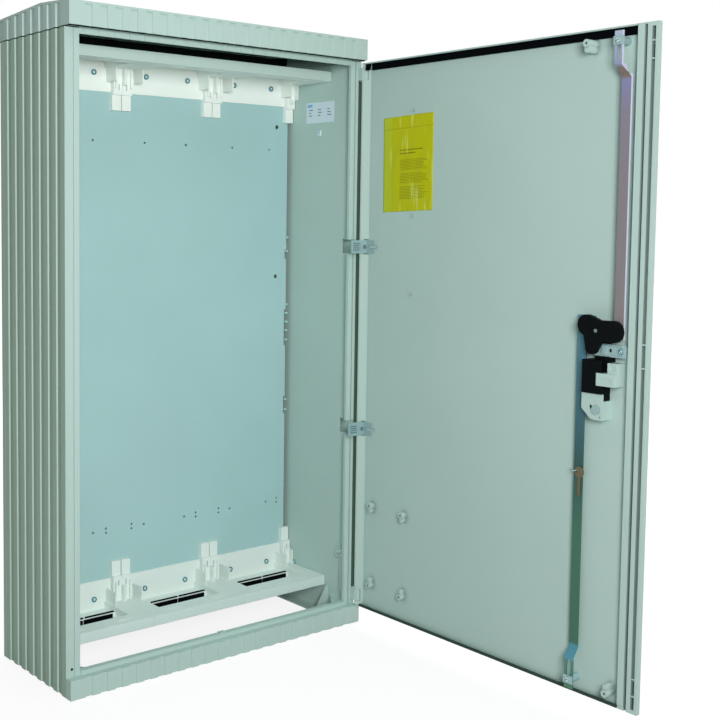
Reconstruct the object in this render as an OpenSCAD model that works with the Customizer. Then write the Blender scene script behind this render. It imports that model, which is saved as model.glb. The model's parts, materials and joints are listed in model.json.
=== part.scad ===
// Free-standing outdoor electrical distribution cabinet, door open at a right angle.
// Units are millimetres. The footprint centre is the origin, the front faces -Y, +Z is up.

/* [Cabinet] */
// Width over the side walls
cab_w = 785; // [700:5:900]
// Depth from the sill face to the rear corners
cab_d = 320; // [280:5:400]
// Height of the roof ridge
cab_h = 1400; // [1200:10:1600]
// How far roof and sill stand in front of the posts
front_reach = 20; // [18:1:26]
// Thickness of one wall skin
skin_t = 3; // [2.5:0.5:4]
// Hollow between the two skins of a side wall
skin_gap = 7; // [5:1:10]
// Height of the moulded ribs
rib_d = 3; // [2:0.5:4]
// Width of a rib land
rib_land = 18; // [12:1:22]
// Rib spacing on the side walls
side_pitch = 36; // [30:1:45]
// Rib spacing on roof front, sill and door
front_pitch = 35; // [30:1:45]
// Radius of the rear corners
corner_r = 20; // [15:1:30]
// Inward width of the bottom flanges
flange_w = 42; // [36:1:60]
// Spacing of the base bolts across the width
bolt_span_x = 720; // [640:5:730]
// Spacing of the base bolts across the depth
bolt_span_y = 220; // [160:5:240]
// Radius of a base bolt hole
bolt_hole_r = 7; // [5:0.5:9]

/* [Roof] */
// Height of the roof fascia at the front
fascia_h = 50; // [40:1:70]
// Rise of the ridge above the front edge
ridge_rise = 8; // [4:1:20]
// Roof shell thickness
roof_t = 5; // [4:0.5:7]
// Height of the shadow joint below the fascia
joint_h = 2.5; // [1.5:0.5:4]

/* [Door frame] */
// Width of a front post
post_w = 32.5; // [30:0.5:36]
// Thickness of the post flange
post_t = 5; // [4:0.5:7]
// Depth of the return lip behind a post
post_lip = 8; // [6:1:12]
// Width of the seal strip on the hinge post
seal_w = 8.5; // [6:0.5:9]
// Visible drop of the top rail below the roof
rail_drop = 11; // [9:1:20]
// Height of the sill face
sill_h = 41; // [35:1:55]
// Height of the sill lip above its ledge
sill_lip = 9; // [6:1:9.5]

/* [Mounting plate] */
// Distance of the plate front behind the posts
plate_back = 240; // [200:5:245]
// Plate thickness
plate_t = 3; // [2:0.5:4]
// Radius of a device hole
device_hole_r = 2.5; // [2:0.25:3.5]

/* [Cable trays] */
// Width of one tray field
field_w = 250; // [220:5:250]
// Distance of the tray fronts behind the posts
tray_front = 87; // [70:1:110]
// Height of the lower tray shelf
tray_z = 90; // [75:1:110]
// Height of a tray lip
tray_lip = 23; // [18:1:26]
// Height of a tray back plate above the shelf
tray_back_h = 52; // [45:1:60]
// Height of an end bracket above the shelf
bracket_h = 92; // [80:1:110]

/* [Door] */
// Door width
door_w = 785; // [700:5:900]
// How far the door stands open at rest
door_angle = 90; // [0:5:110]
// Depth of the door rim over the panel
rim_d = 11; // [9:0.5:14]
// Space between door rim and posts when closed
seal_gap = 3; // [2.5:0.5:5]
// Hinge pin radius
pin_r = 4; // [3:0.25:4.5]
// Running clearance of pins in bores
run_c = 0.05; // [0.02:0.01:0.08]
// Space between parts that move past each other
part_c = 0.3; // [0.3:0.05:0.6]
// Height of the upper catch
catch_hi_z = 908; // [850:1:960]
// Height of the lower catch
catch_lo_z = 475; // [420:1:520]
// Width of the document pouch
pouch_w = 156; // [120:1:200]
// Height of the document pouch
pouch_h = 216; // [150:1:260]

/* [Lock] */
// Space between the upper rod and the free rim
rod_gap = 5; // [3:0.5:10]
// Height of the crank axis
lock_z = 766; // [700:1:830]
// Radius from crank axis to the pin of the upper rod
crank_r = 36; // [32:0.5:38]
// Radius from crank axis to the pin of the lower rod
low_pin_r = 28; // [26:0.5:30]
// Width of the upper rod
upper_rod_w = 23; // [20:1:30]
// Width of the lower rod
lower_rod_w = 20; // [16:1:24]
// Rod thickness
rod_t = 3; // [2.5:0.25:3.25]
// Length of the guide slot in a rod end
rod_slot = 46; // [44:1:60]
// Length of the handle lever
lever_l = 140; // [110:5:150]

/* [Hidden] */

shell = [0.78, 0.80, 0.77];
dark = [0.07, 0.07, 0.07];
zinc = [0.70, 0.72, 0.72];
pale = [0.90, 0.92, 0.90];
brass = [0.72, 0.56, 0.28];
eps = 0.01;

frame_y = -cab_d / 2 + front_reach;
side_x = cab_w / 2;
base_x = side_x - rib_d;
inner_x = base_x - 2 * skin_t - skin_gap;
open_x = side_x - post_w;
wall_top = cab_h - ridge_rise - fascia_h;
rear_y = cab_d / 2;
rear_in = rear_y - rib_d - skin_t;
rib_slant = rib_d / 2;
rear_rib_in = 34;
roof_band = 5;
front_n = floor((side_x - 24) / front_pitch - 0.5);
side_n = floor((cab_d - front_reach - corner_r - 56) / side_pitch);

plate_y = frame_y + plate_back;
plate_x = field_w * 1.5 - 10;
tray_y = frame_y + tray_front;
tray_d = plate_back - tray_front;
upper_tray_z = wall_top - 39;
screw_in = 68;
tray_t = 3;
tray_gap = 0.5;
hole_z_hi = upper_tray_z - 160;
hole_z_lo = tray_z + 164;
plate_mid_z = (tray_z + upper_tray_z) / 2;
bolt_z_lo = tray_z + 64;
bolt_z_hi = upper_tray_z - 64;
bolt_x = front_pitch * floor((plate_x - 30) / front_pitch);
standoff_l = rear_in - plate_y - plate_t;
bolt_r = 4;
bolt_in = standoff_l - 5;

door_z0 = sill_h + 2;
door_z1 = wall_top - 5;
door_skin = 2.5;
door_rib = 3.5;
door_n = floor((door_w / 2 - 24) / front_pitch - 0.5);
door_mid_z = (door_z0 + door_z1) / 2;
edge_x = side_x;
rim_y = frame_y - seal_gap;
panel_y = rim_y - rim_d;
hinge_x = edge_x + 0.5;
hinge_y = frame_y - 15;
axis_a = edge_x - hinge_x;
axis_h = hinge_y - panel_y;
knuckle_r = pin_r + 3.5;
ear_h = 10;
lug_h = 29;
notch_a = knuckle_r + 6;
lug_low_top = door_z0 + ear_h + part_c + lug_h;
lug_high_end = door_z1 - ear_h - part_c - lug_h;
hinge_rim = 3;
rim_foot = 19;
free_rim = door_w - 42.5;
bead_w = 14;
seal_d = 5;
bead_rise = 2;
groove_w = 5;
ledge_w = 9.5;
channel_w = 7.5;
channel_end = 8;
pouch_a = 66;
pouch_drop = 133;
catch_a = 9.5;
catch_half = 15.5;

crank_h = [22, 32];
upper_h = 16;
lower_h = 9;
end_h = 26;
crank_pin_r = 4;
pin_slack = 1.5;
crank_turn = 45;
upper_a = free_rim - rod_gap - upper_rod_w / 2;
upper_pin_a = upper_a - 6.5;
lock_a = upper_pin_a - crank_r;
low_pin_angle = 27;
lower_pin_a = lock_a - low_pin_r * cos(low_pin_angle);
lower_pin_z = lock_z + low_pin_r * sin(low_pin_angle);
lower_a = lock_a - crank_r - 9;
upper_end_a = upper_pin_a - 6;
lower_end_a = lower_a + 3;
upper_bend = [80, 62];
lower_bend = [82, 60];
key_drop = 280;
ring_r = 8.5;
ring_wire = 0.9;
key_l = 49;
ring_a = lower_a - lower_rod_w / 2;
key_z = lock_z - key_drop;
rod_top_z = door_z1 - 11;
rod_low_z = sill_h + sill_lip + 4;
guide_hi_z = rod_top_z - 18;
guide_lo_z = rod_low_z + 18;
spindle_r = 5;
neck_r = 3.5;
neck_l = 4;
housing_h = 30;
housing_drop = 57;
housing_left = 30;
strap_z = lock_z - 37;
strap_half = 12;
strap_screw_a = free_rim - 12;
cover_z = lock_z - 121;
cyl_a = lock_a + 2;
cyl_z = lock_z - 152;
cyl_r = 8.5;
plug_r = 4.5;
face_h = -door_skin - door_rib;
plate_h = 7;
hub_h0 = face_h - plate_h - part_c;
hub_d = 20;
lever_pin_h = hub_h0 - 10;

// Distance along the door from its hinge edge, height over its inner face, height above ground
module on_door() {
  translate([hinge_x, hinge_y, 0])
  rotate([0, 0, door_angle])
  translate([edge_x - hinge_x, panel_y - hinge_y, 0])
  mirror([1, 0, 0])
  children();
}

module box(lo, hi) {
  translate(lo) cube([hi[0] - lo[0], hi[1] - lo[1], hi[2] - lo[2]]);
}

// Round bar along the depth of the door or cabinet
module bar_y(x, z, y0, y1, r) {
  translate([x, y0, z]) rotate([-90, 0, 0]) cylinder(h = y1 - y0, r = r, $fn = 48);
}

module bar_z(x, y, z0, z1, r) {
  translate([x, y, z0]) cylinder(h = z1 - z0, r = r, $fn = 48);
}

module slab_y(y0, y1) {
  translate([0, y1, 0]) rotate([90, 0, 0]) linear_extrude(y1 - y0) children();
}

// Cross section of one rib standing up along +Y
module rib_2d(d) {
  foot = rib_land / 2 + rib_slant;
  polygon([[-foot, -1], [foot, -1], [foot, 0], [rib_land / 2, d], [-rib_land / 2, d], [-foot, 0]]);
}

module front_ribs_2d(d) {
  for (i = [0 : front_n]) {
    for (s = [-1, 1]) {
      translate([s * (i + 0.5) * front_pitch, 0]) mirror([0, 1]) rib_2d(d);
    }
  }
}

module side_ribs_2d() {
  for (i = [0 : side_n]) {
    translate([base_x, frame_y + 46 + i * side_pitch]) rotate(-90) rib_2d(rib_d);
  }
}

// Straight-sided block of the roof with its ribs
module roof_block(h) {
  linear_extrude(h) translate([-base_x, -cab_d / 2 + rib_d]) square([2 * base_x, cab_d - 2 * rib_d]);
  linear_extrude(h) translate([0, -cab_d / 2 + rib_d]) front_ribs_2d(rib_d);
  linear_extrude(h) rotate(180) translate([0, -rear_y + rib_d]) front_ribs_2d(rib_d);
  linear_extrude(h) side_ribs_2d();
  linear_extrude(h) mirror([1, 0]) side_ribs_2d();
  for (s = [-1, 1]) {
    linear_extrude(h) translate([s * (side_x - 10) - 10, -cab_d / 2]) square([20, front_reach + 19]);
  }
}

// Slope of the roof seen from the side, lowered by a given amount
module roof_slope(drop, half_w) {
  top = cab_h - drop;
  rotate([90, 0, 90])
  translate([0, 0, -half_w])
  linear_extrude(2 * half_w)
  polygon([
    [-cab_d / 2 - 1, wall_top - 1], [rear_y + 1, wall_top - 1], [rear_y + 1, top - ridge_rise - 3],
    [-cab_d / 8, top], [-cab_d / 2 - 1, top - ridge_rise]
  ]);
}

module roof_cover() {
  joint_in = roof_t - 2;
  hollow_x = base_x - roof_t;
  hollow_y = cab_d / 2 - rib_d - roof_t;
  color(shell) difference() {
    union() {
      intersection() {
        translate([0, 0, wall_top]) roof_block(fascia_h + ridge_rise + 1);
        roof_slope(0, side_x + 1);
      }
      intersection() {
        box([-side_x, -cab_d / 2, wall_top], [side_x, rear_y, cab_h]);
        difference() {
          roof_slope(0, side_x + 1);
          roof_slope(roof_band, side_x + 2);
        }
      }
    }
    intersection() {
      box([-hollow_x, -hollow_y, wall_top - 1], [hollow_x, hollow_y, cab_h]);
      roof_slope(roof_t, side_x + 1);
    }
    difference() {
      box([-side_x - 1, -cab_d / 2 - 1, wall_top - 1], [side_x + 1, rear_y + 1, wall_top + joint_h]);
      box([-base_x + joint_in, -cab_d / 2 + rib_d + joint_in, wall_top - 2],
          [base_x - joint_in, rear_y - rib_d - joint_in, wall_top + joint_h + 1]);
    }
  }
}

// Right side wall with two skins, front post and rear corner
module side_skins() {
  arc_x = side_x - corner_r;
  arc_y = rear_y - corner_r;
  lap = 1;
  corner_t = rib_d + skin_t;
  linear_extrude(wall_top) difference() {
    translate([inner_x, frame_y]) square([base_x - inner_x, arc_y - frame_y]);
    translate([inner_x + skin_t, frame_y + post_t]) square([skin_gap, arc_y - frame_y - post_t - skin_t]);
  }
  linear_extrude(wall_top) translate([open_x, frame_y]) square([post_w, post_t]);
  linear_extrude(wall_top) translate([open_x, frame_y]) square([4, post_lip]);
  linear_extrude(wall_top) translate([base_x - lap, frame_y]) square([rib_d + lap, 19]);
  linear_extrude(wall_top) translate([base_x - lap, arc_y - 8]) square([rib_d + lap, 8]);
  linear_extrude(wall_top) translate([arc_x - 30, rear_y - rib_d]) square([30, rib_d]);
  linear_extrude(wall_top) translate([arc_x, arc_y]) intersection() {
    difference() {
      circle(r = corner_r, $fn = 64);
      circle(r = corner_r - corner_t, $fn = 64);
    }
    square(corner_r + lap);
  }
  linear_extrude(wall_top) side_ribs_2d();
}

// Window in a post for the sweep of one catch arm
module catch_window(z) {
  half = catch_half + 1;
  box([open_x - 2, frame_y - 1, z - half], [base_x - skin_t, frame_y + 42, z + half]);
}

// Wall on the right with a groove of a given depth down its post
module side_wall(groove_d) {
  bolt_pad = bolt_hole_r + 5;
  boss_y = frame_y + 24;
  boss_z = sill_h + 28;
  brace_y = frame_y + 11;
  difference() {
    union() {
      side_skins();
      box([base_x - flange_w, frame_y + 1, 0], [inner_x + 1, rear_in, 4]);
      bar_z(inner_x - 2, boss_y, boss_z, boss_z + 86, 6);
      box([inner_x - 8, boss_y - 7, boss_z + 83], [inner_x + 1, boss_y + 7, boss_z + 103]);
      translate([inner_x, brace_y, sill_h + 2]) linear_extrude(3) polygon([[1, 0], [1, 60], [-45, 0]]);
      for (s = [-1, 1]) {
        box([bolt_span_x / 2 - bolt_pad, s * bolt_span_y / 2 - bolt_pad, 0],
            [inner_x + 1, s * bolt_span_y / 2 + bolt_pad, 4]);
      }
    }
    box([side_x - 20, frame_y - 1, -1], [side_x - 16.5, frame_y + groove_d, wall_top + 1]);
    for (s = [-1, 1]) {
      bar_z(bolt_span_x / 2, s * bolt_span_y / 2, -1, 6, bolt_hole_r);
    }
    translate([inner_x - 9, boss_y, boss_z + 93]) rotate([0, 90, 0]) cylinder(h = 7, r = 3, $fn = 32);
  }
}

module right_side_wall() {
  color(shell) difference() {
    side_wall(4);
    catch_window(catch_hi_z);
    catch_window(catch_lo_z);
  }
}

module left_side_wall() {
  color(shell) mirror([1, 0, 0]) side_wall(1);
}

module rear_wall() {
  wall_x = side_x - corner_r;
  rib_edge = wall_x - rear_rib_in;
  n = floor(rib_edge / front_pitch - 0.5);
  color(shell) difference() {
    union() {
      box([-wall_x, rear_in, 0], [wall_x, rear_y - rib_d, wall_top]);
      for (i = [0 : n - 1]) {
        for (s = [-1, 1]) {
          linear_extrude(wall_top)
          translate([s * (i + 0.5) * front_pitch, rear_y - rib_d])
          rib_2d(rib_d);
        }
      }
    }
    for (x = [-bolt_x, bolt_x]) {
      for (z = [bolt_z_lo, bolt_z_hi]) {
        bar_y(x, z, rear_in - 1, rear_y + 1, bolt_r + 0.5);
      }
    }
  }
}

module top_cross_rail() {
  rail_t = 3;
  rail_x = open_x;
  color(shell) difference() {
    union() {
      box([-rail_x, frame_y, wall_top - rail_drop], [rail_x, frame_y + rail_t, wall_top + 24]);
      box([-rail_x, frame_y - 8, wall_top + 21], [rail_x, frame_y + rail_t, wall_top + 24]);
    }
    for (i = [-10 : 10]) {
      box([i * front_pitch - 0.7, frame_y - 1, wall_top - rail_drop - 1],
          [i * front_pitch + 0.7, frame_y + 1, wall_top]);
    }
  }
}

module front_sill() {
  sill_t = 4;
  face_y = -cab_d / 2;
  lip_x = open_x;
  color(shell) difference() {
    union() {
      linear_extrude(sill_h) union() {
        translate([-side_x, face_y + rib_d]) square([2 * side_x, front_reach - rib_d]);
        translate([0, face_y + rib_d]) front_ribs_2d(rib_d);
        for (s = [-1, 1]) {
          translate([s * (side_x - 8) - 8, face_y]) square([16, rib_d + 1]);
        }
      }
      box([-lip_x, frame_y - 2.5, sill_h - sill_t], [lip_x, frame_y + 11, sill_h + sill_lip]);
      box([-7, frame_y + 1, sill_h], [7, frame_y + 11, sill_h + sill_lip + 2]);
    }
    box([-side_x + sill_t, face_y + rib_d + sill_t, -1], [side_x - sill_t, frame_y + 1, sill_h - sill_t]);
    box([-lip_x + 4, frame_y + 2, sill_h - 10], [lip_x - 4, frame_y + 8, sill_h + sill_lip - 4]);
  }
}

module device_holes() {
  for (k = [-1.5 : 1 : 1.5]) {
    for (s = [-1, 1]) {
      x = k * field_w + s * screw_in;
      if (abs(x) < plate_x - 20) {
        bar_y(x, hole_z_hi, plate_y - 1, plate_y + plate_t + 1, device_hole_r);
        bar_y(x, hole_z_lo, plate_y - 1, plate_y + plate_t + 1, device_hole_r);
      }
      pair = k * field_w + s * screw_in / 2;
      if (abs(pair) < plate_x - 10) {
        for (dz = [-5, 5]) {
          bar_y(pair, hole_z_lo + dz, plate_y - 1, plate_y + plate_t + 1, device_hole_r);
        }
      }
    }
  }
}

module mounting_plate() {
  big_r = 5;
  color([0.62, 0.72, 0.75]) difference() {
    box([-plate_x, plate_y, tray_z - 10], [plate_x, plate_y + plate_t, upper_tray_z + 10]);
    device_holes();
    for (s = [-1, 1]) {
      bar_y(s * (plate_x - 34), hole_z_hi + 57, plate_y - 1, plate_y + plate_t + 1, big_r);
      bar_y(s * (plate_x - 34), plate_mid_z + 130.5, plate_y - 1, plate_y + plate_t + 1, big_r);
      for (n = [[-46.5, 92], [-220.5, 44], [174.5, 23]]) {
        z = plate_mid_z + n[0];
        box([s * plate_x - 5, plate_y - 1, z], [s * plate_x + 5, plate_y + plate_t + 1, z + n[1]]);
      }
    }
  }
}

module plate_standoffs() {
  color(zinc) for (x = [-bolt_x, bolt_x]) {
    for (z = [bolt_z_lo, bolt_z_hi]) {
      difference() {
        bar_y(x, z, plate_y + plate_t, rear_in, 9);
        bar_y(x, z, rear_in - bolt_in, rear_y, bolt_r + run_c);
      }
    }
  }
}

module plate_bolts() {
  color(zinc) for (x = [-bolt_x, bolt_x]) {
    for (z = [bolt_z_lo, bolt_z_hi]) {
      bar_y(x, z, rear_y - rib_d, rear_y, bolt_r + 2.5);
      bar_y(x, z, rear_in - bolt_in + 2, rear_y - rib_d + 1, bolt_r);
    }
  }
}

// Half bracket at the right end of a tray, shelf top at height zero
module end_bracket(half) {
  back = tray_d;
  inset = 24;
  difference() {
    union() {
      box([half - inset, back - 16, -tray_t], [half, back, bracket_h - 34]);
      box([half - inset, back - 10, bracket_h - 35], [half - 1, back, bracket_h]);
      box([half - inset - 12, back - 46, -16], [half - inset - 9, back - 2, 30]);
      box([half - inset - 10, back - 5, -2], [half - inset + 1, back, 30]);
      box([half - 3, back - 30, -2], [half, back - 14, 36]);
      box([half - inset + 4, back - 22, -2], [half - inset + 7, back - 14, 44]);
    }
    box([half - 11, back - 17, 34], [half - 8, back - 10, 48]);
  }
}

// One tray field with the shelf top at height zero, front at y zero
module tray() {
  half = field_w / 2 - tray_gap / 2;
  well_x = half - 40;
  well_y = [44, tray_d - tray_t];
  well_z = 15;
  difference() {
    union() {
      box([-half, 0, -tray_t], [half, tray_d, 0]);
      box([-half, 0, -tray_lip], [half, tray_t, 0]);
      for (s = [-1, 1]) {
        x = s * (half - tray_t / 2);
        box([x - tray_t / 2, 0, -tray_lip], [x + tray_t / 2, tray_d, 0]);
      }
      box([-half, tray_d - tray_t, -tray_lip], [half, tray_d, tray_back_h]);
      box([-well_x - tray_t, well_y[0] - tray_t, -well_z - tray_t], [well_x + tray_t, tray_d, 0]);
      for (x = [-60, 60]) {
        box([x - 20, 18, -1], [x + 20, 28, 0.8]);
      }
      end_bracket(half);
      mirror([1, 0, 0]) end_bracket(half);
    }
    difference() {
      box([-well_x, well_y[0], -well_z], [well_x, well_y[1], 1]);
      for (s = [-1, 1]) {
        box([s * (half - 34.5) - 1.5, tray_d - 46, -well_z - 1], [s * (half - 34.5) + 1.5, tray_d, 1]);
      }
    }
    for (x = [-70, 6]) {
      for (y = [4, 12]) {
        box([x, well_y[0] + y, -well_z - 4], [x + 64, well_y[0] + y + 4, -well_z + 1]);
      }
    }
    for (s = [-1, 1]) {
      bar_y(s * (field_w / 2 - screw_in), 11, tray_d - 8, tray_d + 1, 3);
    }
  }
}

module lower_tray(k) {
  color(pale) translate([k * field_w, tray_y, tray_z]) tray();
}

module upper_tray(k) {
  color(pale) translate([k * field_w, tray_y, upper_tray_z]) mirror([0, 0, 1]) tray();
}

module lower_tray_left() {
  lower_tray(-1);
}

module lower_tray_middle() {
  lower_tray(0);
}

module lower_tray_right() {
  lower_tray(1);
}

module upper_tray_left() {
  upper_tray(-1);
}

module upper_tray_middle() {
  upper_tray(0);
}

module upper_tray_right() {
  upper_tray(1);
}

module tray_screws() {
  head_y = tray_y + tray_d - tray_t;
  color(zinc) for (k = [-1 : 1]) {
    for (s = [-1, 1]) {
      for (z = [tray_z + 11, upper_tray_z - 11]) {
        bar_y(k * field_w + s * (field_w / 2 - screw_in), z, head_y - 3, head_y, 6);
        bar_y(k * field_w + s * (field_w / 2 - screw_in), z, head_y - 1, plate_y, 2.8);
      }
    }
  }
}

// Fixed half of a pivot hinge between two heights
module hinge_lug(z0, z1) {
  color(shell) difference() {
    union() {
      bar_z(hinge_x, hinge_y, z0, z1, knuckle_r);
      box([hinge_x - knuckle_r - 4.5, hinge_y, z0], [hinge_x + knuckle_r, frame_y, z1]);
    }
    bar_z(hinge_x, hinge_y, z0 - 1, z1 + 1, pin_r);
  }
}

module top_hinge_bracket() {
  hinge_lug(lug_high_end, lug_high_end + lug_h);
}

module bottom_hinge_bracket() {
  hinge_lug(lug_low_top - lug_h, lug_low_top);
}

module top_hinge_pin() {
  color(zinc) bar_z(hinge_x, hinge_y, lug_high_end, door_z1 - 1, pin_r);
}

module bottom_hinge_pin() {
  color(zinc) bar_z(hinge_x, hinge_y, door_z0 + 1, lug_low_top, pin_r);
}

// Foam strip on the post beside the hinge, between the two brackets
module hinge_side_seal() {
  color(dark) box([side_x - seal_w, rim_y + part_c, lug_low_top + 1], [side_x, frame_y, lug_high_end - 1]);
}

// Cross section of the door from hinge edge to free edge, along a and h
module door_2d() {
  ledge = free_rim + bead_w + groove_w;
  lip = ledge + ledge_w + channel_w;
  translate([0, -door_skin]) square([door_w - 4, door_skin]);
  polygon([[0, -door_skin], [rim_foot + 1, -door_skin], [rim_foot, 0], [hinge_rim, rim_d], [0, rim_d]]);
  translate([free_rim, -door_skin]) square([bead_w, door_skin + rim_d + bead_rise]);
  translate([ledge, -door_skin]) square([ledge_w, door_skin + rim_d]);
  translate([ledge + ledge_w - 1, -door_skin]) square([channel_w + 2, door_skin + 4]);
  translate([lip, 1]) square([door_w - lip, rim_d - 1]);
  polygon([[lip - 1, -door_skin], [door_w - 3.5, -door_skin], [door_w, 1], [door_w, 4], [lip - 1, 4]]);
  for (i = [0 : door_n]) {
    for (s = [-1, 1]) {
      translate([door_w / 2 + s * (i + 0.5) * front_pitch, -door_skin]) mirror([0, 1]) rib_2d(door_rib);
    }
  }
}

// Round boss of height h on the inner face with a blind hole and a round rib, up or down
module door_boss(a, z, side, h) {
  rib_z = z + 13 * side;
  difference() {
    union() {
      bar_y(a, z, -1, h, 7.5);
      bar_y(a, rib_z, -1, h - 2, 5);
      box([a - 5, -1, min(z, rib_z)], [a + 5, h - 2, max(z, rib_z)]);
    }
    bar_y(a, z, 2, h + 1, 2.5);
  }
}

module catch_pocket(z) {
  box([catch_a - 0.5, 0, z - catch_half - 2.5], [rim_foot + 3, rim_d + 3, z + catch_half + 2.5]);
}

module door_panel() {
  rim_t = 3;
  channel = free_rim + bead_w + groove_w + ledge_w;
  sill_top = sill_h + sill_lip;
  bosses = [
    [49, door_z0 + 252, -1, 15], [154, door_z0 + 251, -1, 15],
    [49, door_z0 + 60, 1, 15], [154, door_z0 + 59, 1, 15],
    [lock_a - 40, door_z1 - 27, -1, 33], [lock_a + 38.5, door_z0 + 25, 1, 25]
  ];
  tabs = [door_z0 + 32, door_z0 + 65, door_mid_z + 10, door_mid_z + 54, door_z1 - 68, door_z1 - 35];
  color(shell) on_door() difference() {
    union() {
      translate([0, 0, door_z0]) linear_extrude(door_z1 - door_z0) door_2d();
      box([1, -door_skin, door_z1 - rim_t], [free_rim + bead_w + groove_w + 1, rim_d, door_z1]);
      box([1, -door_skin, door_z0], [free_rim + bead_w + groove_w + 1, rim_d - seal_d, door_z0 + rim_t]);
      for (z = tabs) {
        box([channel - 1, -1, z], [channel + channel_w + 1, rim_d - 1, z + 3]);
      }
      for (z = [door_z0, door_z1 - channel_end]) {
        box([channel - 1, -1, z], [channel + channel_w + 1, rim_d, z + channel_end]);
      }
      for (b = bosses) {
        door_boss(b[0], b[1], b[2], b[3]);
      }
      for (drop = [118, 356, 534]) {
        bar_y(pouch_a + 93, door_z1 - drop, -1, 4, 3);
      }
      for (z = [catch_hi_z, catch_lo_z]) {
        box([catch_a + 20, -1, z - 2.5], [catch_a + 37.5, 4.5, z + 2.5]);
      }
      for (z = [door_z0, door_z1 - ear_h]) {
        bar_z(axis_a, axis_h, z, z + ear_h, knuckle_r);
      }
    }
    box([-knuckle_r - 2, face_h - 3, door_z0 + ear_h], [notch_a, rim_d + 3, lug_low_top + part_c]);
    box([-knuckle_r - 2, face_h - 3, lug_high_end - part_c], [notch_a, rim_d + 3, door_z1 - ear_h]);
    box([free_rim - 1, rim_d - part_c, door_z0 - 1],
        [free_rim + bead_w + 1, rim_d + bead_rise + 1, sill_top + 1]);
    bar_z(axis_a, axis_h, door_z0 - 1, door_z1 + 1, pin_r + run_c);
    catch_pocket(catch_hi_z);
    catch_pocket(catch_lo_z);
    for (z = [door_z0 + channel_end, door_z0 + 35.5, door_z1 - 64.5, door_z1 - 32]) {
      box([channel, 0.5, z], [channel + channel_w, rim_d + 1, z + 24]);
    }
    bar_y(lock_a, lock_z, face_h - 1, 1, spindle_r + 1);
    bar_y(cyl_a, cyl_z, face_h - 1, 1, cyl_r);
  }
}

module door_top_seal() {
  color(dark) on_door() box([rim_foot + 10, 0, door_z1 - 18], [free_rim - 2, 7, door_z1 - 3]);
}

module door_bottom_seal() {
  color(dark) on_door() box([rim_foot - 3, rim_d - seal_d, door_z0], [free_rim - 2, rim_d, door_z0 + 5]);
}

// Angle with a long ribbed arm that reaches behind the post
module catch_arm(z) {
  arm_t = 5;
  reach = 49;
  foot = 33;
  color(zinc) on_door() difference() {
    union() {
      box([catch_a, 0, z - catch_half], [catch_a + arm_t, reach, z + catch_half]);
      box([catch_a, 0, z - catch_half], [catch_a + foot, 3, z + catch_half]);
      for (i = [-2 : 2]) {
        box([catch_a + arm_t - 1, 24, z + 5 * i - 0.9], [catch_a + arm_t + 0.8, reach - 4, z + 5 * i + 0.9]);
      }
    }
    box([catch_a + 19.5, -1, z - 3], [catch_a + foot + 1, 4, z + 3]);
    translate([catch_a - 0.5, 10, z]) rotate([0, 90, 0]) cylinder(h = arm_t + 2, r = 3, $fn = 32);
  }
}

module upper_catch() {
  catch_arm(catch_hi_z);
}

module lower_catch() {
  catch_arm(catch_lo_z);
}

module catch_screws() {
  color(zinc) on_door() for (z = [catch_hi_z, catch_lo_z]) {
    translate([catch_a, 10, z]) rotate([0, 90, 0]) cylinder(h = 5.5, r = 2.9, $fn = 32);
    translate([catch_a + 5, 10, z]) rotate([0, 90, 0]) cylinder(h = 2.5, r = 5, $fn = 32);
  }
}

module lock_housing() {
  top = lock_z - housing_drop;
  color(dark) on_door() difference() {
    union() {
      box([lock_a - housing_left, 0, cover_z], [lock_a + 14, housing_h, top]);
      box([lock_a - housing_left, 0, cover_z - 14], [lock_a + 14, housing_h - 7 - part_c, cover_z + 1]);
      box([lock_a - 14, 0, top - 1], [lock_a + 14, upper_h - 4, lock_z + 16]);
      box([lock_a + 10, 0, top - 20], [lock_a + 24, 18, top + 8]);
    }
    bar_y(lock_a, lock_z, -1, upper_h, spindle_r + run_c);
  }
}

module lock_clamp() {
  low = lock_z - 104;
  a0 = lock_a + 14 + part_c;
  a1 = a0 + 32;
  color(pale) on_door() difference() {
    union() {
      box([a0, 0, low], [a1, housing_h + 1, low + 24]);
      box([a0 - 9, housing_h, low], [a1, housing_h + 4, low + 24]);
      box([a0 + 10 + part_c, 0, low + 23], [a1, 26, low + 44]);
    }
    box([a0 - 2, housing_h + 2.5, low + 6], [a1 - 8, housing_h + 5, low + 15]);
    box([a0 + 16, 24.5, low + 30], [a1 - 5, 27, low + 38]);
  }
}

module lock_cover() {
  z0 = cover_z - 51;
  z1 = cover_z - part_c;
  a0 = lock_a - housing_left - 2;
  a1 = lock_a + 16;
  color(pale) on_door() difference() {
    slab_y(0, housing_h - 4) polygon([[a0, z1], [a1, z1], [a1, z0], [a0 + 22, z0], [a0, z0 + 20]]);
    slab_y(-1, housing_h - 7) polygon([
      [a0 + 3, z1 - 3], [a1 - 3, z1 - 3], [a1 - 3, z0 + 3], [a0 + 24, z0 + 3], [a0 + 3, z0 + 22]
    ]);
    box([a0 - 1, -1, cover_z - 14 - part_c], [a1 + 1, housing_h - 7, z1 + 1]);
    bar_y(cyl_a, cyl_z, 0, housing_h, cyl_r + part_c);
    bar_y(cyl_a + 8, cyl_z - 14, 0, housing_h, 2);
    box([cyl_a - 16, 0, cyl_z + 1], [cyl_a - 10, housing_h, cyl_z + 8]);
  }
}

module lock_cylinder() {
  color(zinc) on_door() difference() {
    bar_y(cyl_a, cyl_z, face_h - plate_h - 2, housing_h, cyl_r);
    bar_y(cyl_a, cyl_z, face_h - plate_h - 3, 12, plug_r + run_c);
  }
}

module cylinder_plug() {
  color(brass) on_door() difference() {
    bar_y(cyl_a, cyl_z, face_h - plate_h - 2.5, 11.5, plug_r);
    box([cyl_a - 0.8, face_h - plate_h - 4, cyl_z - 3.2], [cyl_a + 0.8, face_h - plate_h + 8, cyl_z + 3.2]);
  }
}

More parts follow.
